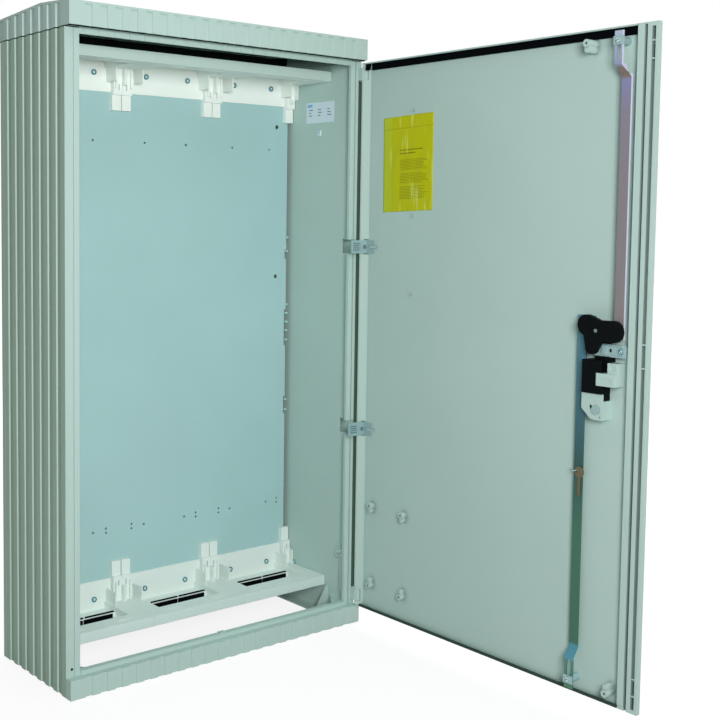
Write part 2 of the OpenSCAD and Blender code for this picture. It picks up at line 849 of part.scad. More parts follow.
// Channel strip from the lock to the free rim
module lock_strap() {
  h0 = upper_h - 4;
  low = strap_z - strap_half;
  high = strap_z + strap_half;
  color(zinc) on_door() difference() {
    union() {
      box([lock_a - 13, h0, low], [free_rim - 3, h0 + 3, high]);
      box([lock_a + 24, h0 + 2, low], [free_rim - 8, h0 + 7, low + 2.5]);
      box([lock_a + 24, h0 + 2, high - 2.5], [free_rim - 8, h0 + 7, high]);
      box([lock_a + 5, h0 + 2, low + 4], [lock_a + 15, h0 + 7, high - 2]);
    }
    bar_y(lock_a + 22, strap_z, h0 - 1, h0 + 4, 3.5);
    bar_y(strap_screw_a, strap_z, h0 - 1, h0 + 4, 3);
  }
}

module strap_clamp() {
  color(zinc) on_door() difference() {
    box([free_rim - 22, 0, strap_z - 9], [free_rim - 4, upper_h - 4, strap_z + 9]);
    bar_y(strap_screw_a, strap_z, 2, upper_h, 2.95);
  }
}

module strap_screw() {
  color(zinc) on_door() {
    bar_y(strap_screw_a, strap_z, 2.5, upper_h - 0.5, 2.9);
    bar_y(strap_screw_a, strap_z, upper_h - 1, upper_h + 2, 5.5);
  }
}

// Post through the rod slot with a keeper plate in front of the rod
module rod_guide(a, z) {
  post_r = 4;
  color(zinc) on_door() difference() {
    union() {
      bar_y(a, z, 0, end_h - part_c, 8);
      bar_y(a, z, end_h - 1, end_h + rod_t + part_c, post_r);
      box([a - 11, end_h + rod_t + part_c, z - 8], [a + 11, end_h + rod_t + part_c + 2, z + 8]);
    }
    bar_y(a, z, end_h - 8, end_h + rod_t + 4, 2.5);
  }
}

module upper_rod_guide() {
  rod_guide(upper_end_a, guide_hi_z);
}

module lower_rod_guide() {
  rod_guide(lower_end_a, guide_lo_z);
}

module guide_screws() {
  h0 = end_h + rod_t + part_c + 2;
  color(zinc) on_door() for (p = [[upper_end_a, guide_hi_z], [lower_end_a, guide_lo_z]]) {
    bar_y(p[0], p[1], end_h - 7, h0 + 1, 2.4);
    bar_y(p[0], p[1], h0, h0 + 2.5, 5);
  }
}

module document_pouch() {
  top = door_z1 - pouch_drop;
  color([0.95, 0.85, 0.20]) on_door() box([pouch_a, 0, top - pouch_h], [pouch_a + pouch_w, 1.2, top]);
}

module handle_plate() {
  h1 = face_h - plate_h;
  color(dark) on_door() difference() {
    union() {
      box([lock_a - 30, h1, cyl_z - 2], [lock_a + 30, face_h, lock_z]);
      bar_y(lock_a, lock_z, h1, face_h, 30);
      bar_y(lock_a, cyl_z, h1, face_h, 30);
    }
    bar_y(lock_a, lock_z, h1 - 1, face_h + 1, spindle_r + 1);
    bar_y(cyl_a, cyl_z, h1 - 1, face_h + 1, cyl_r);
  }
}

// Three-lobed plate with a pin for each rod
module crank() {
  h0 = crank_h[0];
  h1 = crank_h[1];
  left = [-22, 9.5];
  low = [-10, -33];
  color(dark) on_door() difference() {
    union() {
      bar_y(lock_a + left[0], lock_z + left[1], h0, h1, 20);
      bar_y(upper_pin_a, lock_z, h0, h1, 21);
      bar_y(lock_a + low[0], lock_z + low[1], h0, h1, 13);
      slab_y(h0, h1) translate([lock_a, lock_z]) polygon([
        [-14, 28], [8, 20], [crank_r, 21], [crank_r, -21], [12, -20], [2, -37], [-23, -33], [-28, -9]
      ]);
      bar_y(lower_pin_a, lower_pin_z, lower_h - 1, h0 + 1, crank_pin_r);
      bar_y(upper_pin_a, lock_z, upper_h - 1, h0 + 1, crank_pin_r);
    }
    bar_y(lock_a, lock_z, h0 - 1, h1 - neck_l, spindle_r);
    bar_y(lock_a, lock_z, h1 - neck_l - 1, h1 + 1, neck_r);
  }
}

// Shaft through the door, stepped down where it is riveted to the crank
module spindle() {
  color(zinc) on_door() union() {
    bar_y(lock_a, lock_z, hub_h0 - 4, crank_h[1] - neck_l, spindle_r);
    bar_y(lock_a, lock_z, crank_h[1] - neck_l - 1, crank_h[1] + 1, neck_r);
  }
}

module handle_hub() {
  slot = 7.3;
  color(dark) on_door() difference() {
    bar_y(lock_a, lock_z, hub_h0 - hub_d, hub_h0, 17);
    bar_y(lock_a, lock_z, hub_h0 - 4, hub_h0 + 1, spindle_r);
    box([lock_a - slot, hub_h0 - hub_d - 1, lock_z - 18], [lock_a + slot, hub_h0 - 4.3, lock_z + 8]);
    translate([lock_a - 14, lever_pin_h, lock_z]) rotate([0, 90, 0]) cylinder(h = 28, r = 2.5, $fn = 32);
  }
}

module lever_pin() {
  color(zinc) on_door()
  translate([lock_a - 14, lever_pin_h, lock_z]) rotate([0, 90, 0]) cylinder(h = 28, r = 2.5, $fn = 32);
}

module handle_lever() {
  grip = 12;
  tongue = 7;
  grip_z = lock_z - 22;
  end_z = lock_z - lever_l + grip;
  color(dark) on_door() difference() {
    union() {
      translate([lock_a - tongue, lever_pin_h, lock_z]) rotate([0, 90, 0])
      cylinder(h = 2 * tongue, r = 5.4, $fn = 48);
      box([lock_a - tongue, lever_pin_h - 5, grip_z - 1], [lock_a + tongue, lever_pin_h + 5, lock_z]);
      box([lock_a - grip, lever_pin_h - 6, end_z], [lock_a + grip, lever_pin_h + 6, grip_z]);
      bar_y(lock_a, end_z, lever_pin_h - 6, lever_pin_h + 6, grip);
    }
    translate([lock_a - 15, lever_pin_h, lock_z]) rotate([0, 90, 0])
    cylinder(h = 30, r = 2.5 + run_c, $fn = 32);
  }
}

// Slot along the rod, round at both ends
module rod_slot_cut(a, z0, z1, r) {
  bar_y(a, z0, end_h - 1, end_h + rod_t + 1, r);
  bar_y(a, z1, end_h - 1, end_h + rod_t + 1, r);
  box([a - r, end_h - 1, z0], [a + r, end_h + rod_t + 1, z1]);
}

// Opening for a crank pin, long enough for its sideways path
module pin_slot(a0, a1, z, h0) {
  r = crank_pin_r + pin_slack;
  box([a0 - r, h0 - 1, z - r], [a1 + r, h0 + rod_t + 1, z + r]);
}

// Slanted piece of rod between two planes
module rod_bend(a, w, h0, h1, z0, z1) {
  translate([a - w / 2, 0, 0]) rotate([90, 0, 90]) linear_extrude(w)
  polygon([[h0, z0], [h0 + rod_t, z0], [h1 + rod_t, z1], [h1, z1]]);
}

module upper_rod() {
  main_top = rod_top_z - upper_bend[0];
  bend_top = rod_top_z - upper_bend[1];
  end_w = upper_rod_w - 4;
  path = crank_r * (1 - cos(crank_turn));
  foot_z = lock_z - 14;
  color([0.60, 0.60, 0.66]) on_door() difference() {
    union() {
      box([upper_a - upper_rod_w / 2, upper_h, foot_z],
          [upper_a + upper_rod_w / 2, upper_h + rod_t, main_top]);
      box([upper_pin_a - path - 10, upper_h, foot_z], [upper_a, upper_h + rod_t, lock_z + 14]);
      rod_bend((upper_a + upper_end_a) / 2, end_w, upper_h, end_h, main_top - eps, bend_top + eps);
      box([upper_end_a - end_w / 2, end_h, bend_top], [upper_end_a + end_w / 2, end_h + rod_t, rod_top_z]);
    }
    pin_slot(upper_pin_a - path, upper_pin_a, lock_z, upper_h);
    rod_slot_cut(upper_end_a, guide_hi_z - rod_slot + 10, guide_hi_z + 3, 4.6);
  }
}

module lower_rod() {
  main_low = rod_low_z + lower_bend[0];
  bend_low = rod_low_z + lower_bend[1];
  tongue_a = lower_pin_a + crank_pin_r + pin_slack + 4;
  half_w = lower_rod_w / 2;
  color([0.45, 0.62, 0.68]) on_door() difference() {
    union() {
      box([lower_a - half_w, lower_h, main_low], [lower_a + half_w, lower_h + rod_t, lower_pin_z + 14]);
      box([lower_a, lower_h, lower_pin_z - 14], [tongue_a, lower_h + rod_t, lower_pin_z + 14]);
      rod_bend((lower_a + lower_end_a) / 2, lower_rod_w, end_h, lower_h, bend_low - eps, main_low + eps);
      box([lower_end_a - half_w, end_h, rod_low_z], [lower_end_a + half_w, end_h + rod_t, bend_low]);
    }
    pin_slot(lock_a - low_pin_r, lower_pin_a, lower_pin_z, lower_h);
    rod_slot_cut(lower_end_a, guide_lo_z - 3, guide_lo_z + rod_slot - 10, 4.6);
    bar_y(ring_a + ring_r, key_z + 3 - ring_wire, lower_h - 1, lower_h + rod_t + 1, 3);
  }
}

module key_ring() {
  color(zinc) on_door()
  translate([ring_a, lower_h + rod_t / 2, key_z])
  rotate_extrude($fn = 48) translate([ring_r, 0]) circle(r = ring_wire, $fn = 24);
}

module key() {
  h0 = lower_h + rod_t + 1.2;
  bow_a = lower_a + 4;
  color(brass) on_door() difference() {
    union() {
      bar_y(bow_a, key_z - 2, h0, h0 + 2, 11);
      box([bow_a - 3, h0, key_z - key_l], [bow_a + 3, h0 + 2, key_z - 10]);
    }
    bar_y(ring_a + ring_r - ring_wire, key_z - 2.5 + ring_wire, h0 - 1, h0 + 3, 2.5);
  }
}

roof_cover();
left_side_wall();
right_side_wall();
rear_wall();
top_cross_rail();
front_sill();
mounting_plate();
plate_standoffs();
plate_bolts();
upper_tray_left();
upper_tray_middle();
upper_tray_right();
lower_tray_left();
lower_tray_middle();
lower_tray_right();
tray_screws();
top_hinge_bracket();
bottom_hinge_bracket();
top_hinge_pin();
bottom_hinge_pin();
hinge_side_seal();
door_panel();
door_top_seal();
door_bottom_seal();
upper_catch();
lower_catch();
catch_screws();
lock_housing();
lock_clamp();
lock_cover();
lock_cylinder();
cylinder_plug();
lock_strap();
strap_clamp();
strap_screw();
upper_rod_guide();
lower_rod_guide();
guide_screws();
document_pouch();
handle_plate();
crank();
spindle();
handle_hub();
lever_pin();
handle_lever();
upper_rod();
lower_rod();
key();
key_ring();
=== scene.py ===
import json
import math
import bpy
import numpy as np
from mathutils import Matrix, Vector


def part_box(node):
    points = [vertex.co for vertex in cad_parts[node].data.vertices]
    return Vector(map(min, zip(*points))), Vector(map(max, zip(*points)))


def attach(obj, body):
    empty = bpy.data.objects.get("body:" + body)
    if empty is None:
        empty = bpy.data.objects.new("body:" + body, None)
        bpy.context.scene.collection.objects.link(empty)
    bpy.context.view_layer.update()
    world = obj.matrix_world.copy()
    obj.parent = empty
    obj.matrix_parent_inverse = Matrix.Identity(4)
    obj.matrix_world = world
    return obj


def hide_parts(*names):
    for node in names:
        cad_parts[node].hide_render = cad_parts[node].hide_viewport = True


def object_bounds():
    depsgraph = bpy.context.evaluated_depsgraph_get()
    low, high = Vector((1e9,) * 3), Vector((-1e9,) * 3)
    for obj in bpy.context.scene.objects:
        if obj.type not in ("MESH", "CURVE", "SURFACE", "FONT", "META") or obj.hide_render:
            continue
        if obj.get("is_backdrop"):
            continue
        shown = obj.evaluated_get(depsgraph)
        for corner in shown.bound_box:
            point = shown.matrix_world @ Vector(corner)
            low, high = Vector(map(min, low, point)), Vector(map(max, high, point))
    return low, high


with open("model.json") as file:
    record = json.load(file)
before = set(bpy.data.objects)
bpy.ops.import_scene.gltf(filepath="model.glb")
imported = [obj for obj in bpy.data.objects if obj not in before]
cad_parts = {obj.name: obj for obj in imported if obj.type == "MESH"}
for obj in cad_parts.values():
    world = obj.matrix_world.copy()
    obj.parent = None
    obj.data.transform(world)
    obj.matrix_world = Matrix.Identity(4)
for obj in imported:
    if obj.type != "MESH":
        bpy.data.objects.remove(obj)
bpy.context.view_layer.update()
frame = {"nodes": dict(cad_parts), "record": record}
scene = bpy.context.scene
print("stage: frame loaded")


def srgb(r, g, b):
    def lin(c):
        c = c / 255.0
        return c / 12.92 if c <= 0.04045 else ((c + 0.055) / 1.055) ** 2.4
    return (lin(r), lin(g), lin(b), 1.0)


# Materials: fine grain, faint mottling and softened edges, all in object coordinates
def surface(name, color, rough=0.5, metal=0.0, mottle=0.04, grain=0.02, grainScale=900.0, edge=0.0006,
            brush=None, gloss=0.5):
    mat = bpy.data.materials.new(name)
    mat.use_nodes = True
    nodes, links = mat.node_tree.nodes, mat.node_tree.links
    bsdf = nodes["Principled BSDF"]
    bsdf.inputs["Base Color"].default_value = color
    bsdf.inputs["Metallic"].default_value = metal
    bsdf.inputs["Roughness"].default_value = rough
    bsdf.inputs["Specular IOR Level"].default_value = gloss
    coord = nodes.new("ShaderNodeTexCoord")
    if mottle:
        cloud = nodes.new("ShaderNodeTexNoise")
        cloud.inputs["Scale"].default_value = 3.5
        cloud.inputs["Detail"].default_value = 4.0
        links.new(coord.outputs["Object"], cloud.inputs["Vector"])
        level = nodes.new("ShaderNodeMapRange")
        level.inputs["From Min"].default_value = 0.3
        level.inputs["From Max"].default_value = 0.7
        level.inputs["To Min"].default_value = 1.0 - mottle
        level.inputs["To Max"].default_value = 1.0 + mottle
        links.new(cloud.outputs["Fac"], level.inputs["Value"])
        mix = nodes.new("ShaderNodeVectorMath")
        mix.operation = "SCALE"
        mix.inputs[0].default_value = color[:3]
        links.new(level.outputs["Result"], mix.inputs["Scale"])
        links.new(mix.outputs["Vector"], bsdf.inputs["Base Color"])
    normal = nodes.new("ShaderNodeBevel")
    normal.samples = 4
    normal.inputs["Radius"].default_value = edge
    speck = nodes.new("ShaderNodeTexNoise")
    speck.inputs["Scale"].default_value = grainScale
    speck.inputs["Detail"].default_value = 2.0
    if brush:
        stretch = nodes.new("ShaderNodeMapping")
        stretch.inputs["Scale"].default_value = brush
        links.new(coord.outputs["Object"], stretch.inputs["Vector"])
        links.new(stretch.outputs["Vector"], speck.inputs["Vector"])
    else:
        links.new(coord.outputs["Object"], speck.inputs["Vector"])
    bump = nodes.new("ShaderNodeBump")
    bump.inputs["Strength"].default_value = grain
    bump.inputs["Distance"].default_value = 0.001
    links.new(speck.outputs["Fac"], bump.inputs["Height"])
    links.new(normal.outputs["Normal"], bump.inputs["Normal"])
    links.new(bump.outputs["Normal"], bsdf.inputs["Normal"])
    return mat


# Tints along the height of a plated rod, as (share of the height, colour), with an optional painted highlight
# along its free side
def rodTintAndHighlight(name, stops, low, high, highlightAt=None):
    mat = surface(name, stops[0][1], rough=0.42, metal=0.2, grain=0.05, brush=(1.0, 1.0, 0.02), mottle=0.0,
                  gloss=0.3)
    nodes, links = mat.node_tree.nodes, mat.node_tree.links
    coord = nodes.new("ShaderNodeTexCoord")
    part = nodes.new("ShaderNodeSeparateXYZ")
    links.new(coord.outputs["Object"], part.inputs["Vector"])
    along = nodes.new("ShaderNodeMapRange")
    along.inputs["From Min"].default_value = low
    along.inputs["From Max"].default_value = high
    links.new(part.outputs["Z"], along.inputs["Value"])
    ramp = nodes.new("ShaderNodeValToRGB")
    while len(ramp.color_ramp.elements) < len(stops):
        ramp.color_ramp.elements.new(0.5)
    for stop, (place, tint) in zip(ramp.color_ramp.elements, stops):
        stop.position = place
        stop.color = tint
    links.new(along.outputs["Result"], ramp.inputs["Fac"])
    finish = ramp.outputs["Color"]
    if highlightAt:  # painted highlight along the free side of the rod
        (lowY, lowZ), (highY, highZ), tint = highlightAt
        limit = nodes.new("ShaderNodeMapRange")
        limit.inputs["From Min"].default_value = lowZ
        limit.inputs["From Max"].default_value = highZ
        limit.inputs["To Min"].default_value = lowY
        limit.inputs["To Max"].default_value = highY
        links.new(part.outputs["Z"], limit.inputs["Value"])
        inside = nodes.new("ShaderNodeMath")
        inside.operation = "LESS_THAN"
        links.new(part.outputs["Y"], inside.inputs[0])
        links.new(limit.outputs["Result"], inside.inputs[1])
        mix = nodes.new("ShaderNodeMix")
        mix.data_type = "RGBA"
        mix.inputs["B"].default_value = tint
        links.new(inside.outputs["Value"], mix.inputs["Factor"])
        links.new(finish, mix.inputs["A"])
        finish = mix.outputs["Result"]
    links.new(finish, nodes["Principled BSDF"].inputs["Base Color"])
    return mat


# The front faces at frontY take a colour of their own
def frontTone(name, color, frontColor, frontY, frontDepth=0.0015, cloudy=0.06):
    mat = surface(name, color, grain=0.05, mottle=0.0, gloss=0.3)
    nodes, links = mat.node_tree.nodes, mat.node_tree.links
    coord = nodes.new("ShaderNodeTexCoord")
    part = nodes.new("ShaderNodeSeparateXYZ")
    links.new(coord.outputs["Object"], part.inputs["Vector"])
    rail = nodes.new("ShaderNodeMapRange")
    rail.inputs["From Min"].default_value = frontY
    rail.inputs["From Max"].default_value = frontY + frontDepth
    links.new(part.outputs["Y"], rail.inputs["Value"])
    cloud = nodes.new("ShaderNodeTexNoise")
    cloud.inputs["Scale"].default_value = 5.0
    links.new(coord.outputs["Object"], cloud.inputs["Vector"])
    drift = nodes.new("ShaderNodeMapRange")
    drift.inputs["To Min"].default_value = -cloudy
    drift.inputs["To Max"].default_value = cloudy
    links.new(cloud.outputs["Fac"], drift.inputs["Value"])
    sumUp = nodes.new("ShaderNodeMath")
    sumUp.operation = "ADD"
    links.new(rail.outputs["Result"], sumUp.inputs[0])
    links.new(drift.outputs["Result"], sumUp.inputs[1])
    mix = nodes.new("ShaderNodeMix")
    mix.data_type = "RGBA"
    mix.inputs["A"].default_value = frontColor
    mix.inputs["B"].default_value = color
    links.new(sumUp.outputs["Value"], mix.inputs["Factor"])
    links.new(mix.outputs["Result"], nodes["Principled BSDF"].inputs["Base Color"])
    return mat


# Painted shade in the recesses: the colour falls off where a moulding closes in on itself
def recessShade(mat, depth, reach, closed=0.3, clear=0.92, frontColor=None):
    nodes, links = mat.node_tree.nodes, mat.node_tree.links
    base = nodes["Principled BSDF"].inputs["Base Color"]
    hollow = nodes.new("ShaderNodeAmbientOcclusion")
    hollow.only_local = True
    hollow.samples = 8
    hollow.inputs["Distance"].default_value = reach
    fade = nodes.new("ShaderNodeMapRange")
    fade.inputs["From Min"].default_value = closed
    fade.inputs["From Max"].default_value = clear
    fade.inputs["To Min"].default_value = 1.0 - depth
    fade.inputs["To Max"].default_value = 1.0
    links.new(hollow.outputs["AO"], fade.inputs["Value"])
    dim = nodes.new("ShaderNodeVectorMath")
    dim.operation = "SCALE"
    links.new(base.links[0].from_socket, dim.inputs[0])
    links.new(fade.outputs["Result"], dim.inputs["Scale"])
    links.new(dim.outputs["Vector"], base)
    if frontColor:  # faces that look to the front take a lighter colour: painted light on the lit side
        shape = nodes.new("ShaderNodeNewGeometry")
        part = nodes.new("ShaderNodeSeparateXYZ")
        links.new(shape.outputs["True Normal"], part.inputs["Vector"])
        front = nodes.new("ShaderNodeMapRange")
        front.inputs["From Min"].default_value = -0.3
        front.inputs["From Max"].default_value = -0.8
        links.new(part.outputs["Y"], front.inputs["Value"])
        mix = nodes.new("ShaderNodeMix")
        mix.data_type = "RGBA"
        mix.inputs["B"].default_value = frontColor
        links.new(front.outputs["Result"], mix.inputs["Factor"])
        links.new(dim.outputs["Vector"], mix.inputs["A"])
        links.new(mix.outputs["Result"], base)


# Left side wall: a darker copy of the shell colour, painted shade, with deeper painted shade in its grooves
# and lighter front-facing faces
shadedSideMat = surface("shellShadedSide", srgb(158, 185, 167), rough=0.6, grain=0.12, mottle=0.025, gloss=0.2)
shellSpec = {"color": srgb(178, 203, 196), "rough": 0.6, "grain": 0.12, "grainScale": 700.0, "mottle": 0.025,
             "edge": 0.0008, "gloss": 0.25}
shellMat = surface("shellGrain", **shellSpec)
doorMat = surface("doorGrain", **shellSpec)
recessShade(shadedSideMat, depth=0.55, reach=0.03, closed=0.72, clear=0.98, frontColor=srgb(176, 201, 194))
# Painted shade in the door's channels and round its rim
recessShade(doorMat, depth=0.6, reach=0.016)
plateMat = surface("plateSheet", srgb(166, 202, 202), rough=0.45, grain=0.05, grainScale=500.0, mottle=0.03,
                   gloss=0.3)
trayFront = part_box("lower_tray_left")[0][1]
# Upper trays: the darker colour of their fronts is painted shade
whiteMat = frontTone("trayWhite", srgb(240, 247, 242), srgb(190, 212, 205), trayFront)
# Lower trays: a dimmer copy of the tray white, painted shade
lowTrayShadeMat = frontTone("lowTrayShadeWhite", srgb(224, 236, 231), srgb(210, 230, 226), trayFront)
zincMat = surface("zincPlated", srgb(156, 185, 186), rough=0.42, metal=0.2, grain=0.1, grainScale=400.0,
                  mottle=0.08, gloss=0.3)
pinMat = surface("dullSteel", srgb(122, 142, 138), rough=0.55, metal=0.2, grain=0.06, mottle=0.08, gloss=0.2)
blackMat = surface("satinBlack", srgb(7, 10, 12), rough=0.55, grain=0.1, mottle=0.1, gloss=0.06)
sealMat = surface("foamSeal", srgb(5, 8, 11), rough=0.9, grain=0.3, grainScale=1200.0, mottle=0.1, gloss=0.03)
# Dark sheet colour: painted shade in the roof space
roofShadeMat = surface("roofShadeDark", srgb(34, 42, 38), rough=1.0, grain=0.4, grainScale=300.0, mottle=0.2,
                    gloss=0.0)
rubberSpec = {"rough": 0.8, "grain": 0.2, "grainScale": 1200.0, "mottle": 0.06, "gloss": 0.1}
postSealMat = surface("greySeal", srgb(66, 88, 76), **rubberSpec)
lowSealMat = surface("lowSeal", srgb(52, 70, 62), **rubberSpec)
# Painted highlight along the free side of the upper rod
rodHighlight = {"lowIn": 0.0015, "lowZ": 1.240, "highIn": 0.0165, "highZ": 1.262, "color": srgb(206, 208, 230)}
lo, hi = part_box("upper_rod")
rodHighlightBand = ((lo[1] + rodHighlight["lowIn"], rodHighlight["lowZ"]), (lo[1] + rodHighlight["highIn"], rodHighlight["highZ"]),
            rodHighlight["color"])
upperRodMat = rodTintAndHighlight("violetZinc", [
    (0.0, srgb(134, 126, 128)), (0.45, srgb(131, 125, 129)), (0.74, srgb(131, 127, 140)),
    (0.845, srgb(130, 131, 170)), (0.853, srgb(120, 107, 96)), (0.884, srgb(126, 116, 110)),
    (0.892, srgb(142, 148, 187)), (1.0, srgb(170, 186, 204)),
], lo[2], hi[2], rodHighlightBand)
lo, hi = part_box("lower_rod")
lowerRodMat = rodTintAndHighlight("tealZinc", [
    (0.0, srgb(82, 126, 94)), (0.04, srgb(78, 126, 112)), (0.074, srgb(80, 132, 122)),
    (0.08, srgb(84, 146, 168)), (0.112, srgb(82, 140, 156)), (0.118, srgb(64, 108, 88)),
    (0.42, srgb(67, 113, 94)), (0.6, srgb(54, 88, 85)), (0.72, srgb(64, 104, 114)), (1.0, srgb(85, 135, 153)),
], lo[2], hi[2])
brassMat = surface("dullBrass", srgb(112, 104, 80), rough=0.45, metal=0.3, grain=0.06, mottle=0.15, gloss=0.3)
tealMat = surface("tealWasher", srgb(66, 136, 148), rough=0.4, metal=0.2, grain=0.05, mottle=0.06, gloss=0.3)
brightMat = surface("brightZinc", srgb(212, 230, 230), rough=0.35, metal=0.2, grain=0.05, mottle=0.05,
                    gloss=0.3)
# Dark colour for screw slots and blind-hole floors, painted shade in the recesses; the catch screw heads and
# the post's small diamond take it as well
recessMat = surface("darkRecess", srgb(26, 34, 36), rough=0.7, grain=0.05, mottle=0.05, gloss=0.1)
grooveMat = surface("ribShade", srgb(76, 104, 112), rough=0.7, grain=0.05, mottle=0.05, gloss=0.1)
labelMat = surface("labelFilm", srgb(212, 228, 238), rough=0.4, grain=0.02, mottle=0.01, gloss=0.3)
printMat = surface("labelPrint", srgb(92, 112, 122), rough=0.5, grain=0.02, mottle=0.03)
fieldMat = surface("labelField", srgb(110, 176, 214), rough=0.5, grain=0.02, mottle=0.03)

slotMats = {
    "shell": shellMat, "plate": plateMat, "white_plastic": whiteMat, "zinc": zincMat,
    "black_plastic": blackMat, "seal": sealMat, "pouch": labelMat, "rod_steel": lowerRodMat,
    "brass": brassMat,
}
ownMats = {
    "upper_rod": upperRodMat, "hinge_side_seal": postSealMat, "lock_clamp": shellMat, "lock_cover": shellMat,
    "lower_tray_left": lowTrayShadeMat, "lower_tray_middle": lowTrayShadeMat, "lower_tray_right": lowTrayShadeMat,
    "left_side_wall": shadedSideMat, "door_panel": doorMat, "door_bottom_seal": lowSealMat,
    "top_hinge_pin": pinMat, "bottom_hinge_pin": pinMat, "spindle": pinMat,
}
for part in frame["record"]["subparts"]:
    obj = frame["nodes"][part["node"]]
    obj.data.materials.clear()
    obj.data.materials.append(ownMats.get(part["node"], slotMats[part["material_slot"]]))
print("stage: materials")


# Pieces: meshes in place, one body each
def addPiece(name, verts, faces, mats, body, faceMats=None):
    mesh = bpy.data.meshes.new(name)
    mesh.from_pydata([tuple(v) for v in verts], [], faces)
    for mat in mats:
        mesh.materials.append(mat)
    if faceMats:
        mesh.polygons.foreach_set("material_index", faceMats)
    mesh.update()
    obj = bpy.data.objects.new(name, mesh)
    scene.collection.objects.link(obj)
    if body:
        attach(obj, body)
    return obj


def slab(lo, hi):
    xs, ys, zs = zip(lo, hi)
    verts = [(x, y, z) for z in zs for y in ys for x in xs]
    faces = [(0, 2, 3, 1), (4, 5, 7, 6), (0, 1, 5, 4), (2, 6, 7, 3), (0, 4, 6, 2), (1, 3, 7, 5)]
    return verts, faces


def joinShapes(shapes):
    verts, faces, marks = [], [], []
    for (shapeVerts, shapeFaces), mark in shapes:
        base = len(verts)
        verts += list(shapeVerts)
        faces += [tuple(base + i for i in face) for face in shapeFaces]
        marks += [mark] * len(shapeFaces)
    return verts, faces, marks


# Turned shape round an axis that leaves a face: "front" looks to -Y, "side" looks to -X
def turned(profile, count, at, facing, phase=0.0):
    verts, faces = [], []
    for radius, height in profile:
        for k in range(count):
            ang = phase + 2 * math.pi * k / count
            x, y = radius * math.cos(ang), radius * math.sin(ang)
            spot = (x, -height, y) if facing == "front" else (-height, -x, y)
            verts.append(tuple(p + q for p, q in zip(at, spot)))
    for j in range(len(profile) - 1):
        for k in range(count):
            n = (k + 1) % count
            faces.append((j * count + k, j * count + n, (j + 1) * count + n, (j + 1) * count + k))
    last = (len(profile) - 1) * count
    faces.append(tuple(range(count - 1, -1, -1)))
    faces.append(tuple(range(last, last + count)))
    return verts, faces


# Outline in the X-Z plane, counted round as seen from the front, drawn out along Y
def extruded(outline, low, high):
    count = len(outline)
    verts = [(x, y, z) for y in (low, high) for x, z in outline]
    faces = [tuple(range(count)), tuple(range(2 * count - 1, count - 1, -1))]
    for k in range(count):
        n = (k + 1) % count
        faces.append((k, k + count, n + count, n))
    return verts, faces


facings = {"front": (math.pi / 2, 0.0, 0.0), "side": (math.pi / 2, 0.0, -math.pi / 2)}


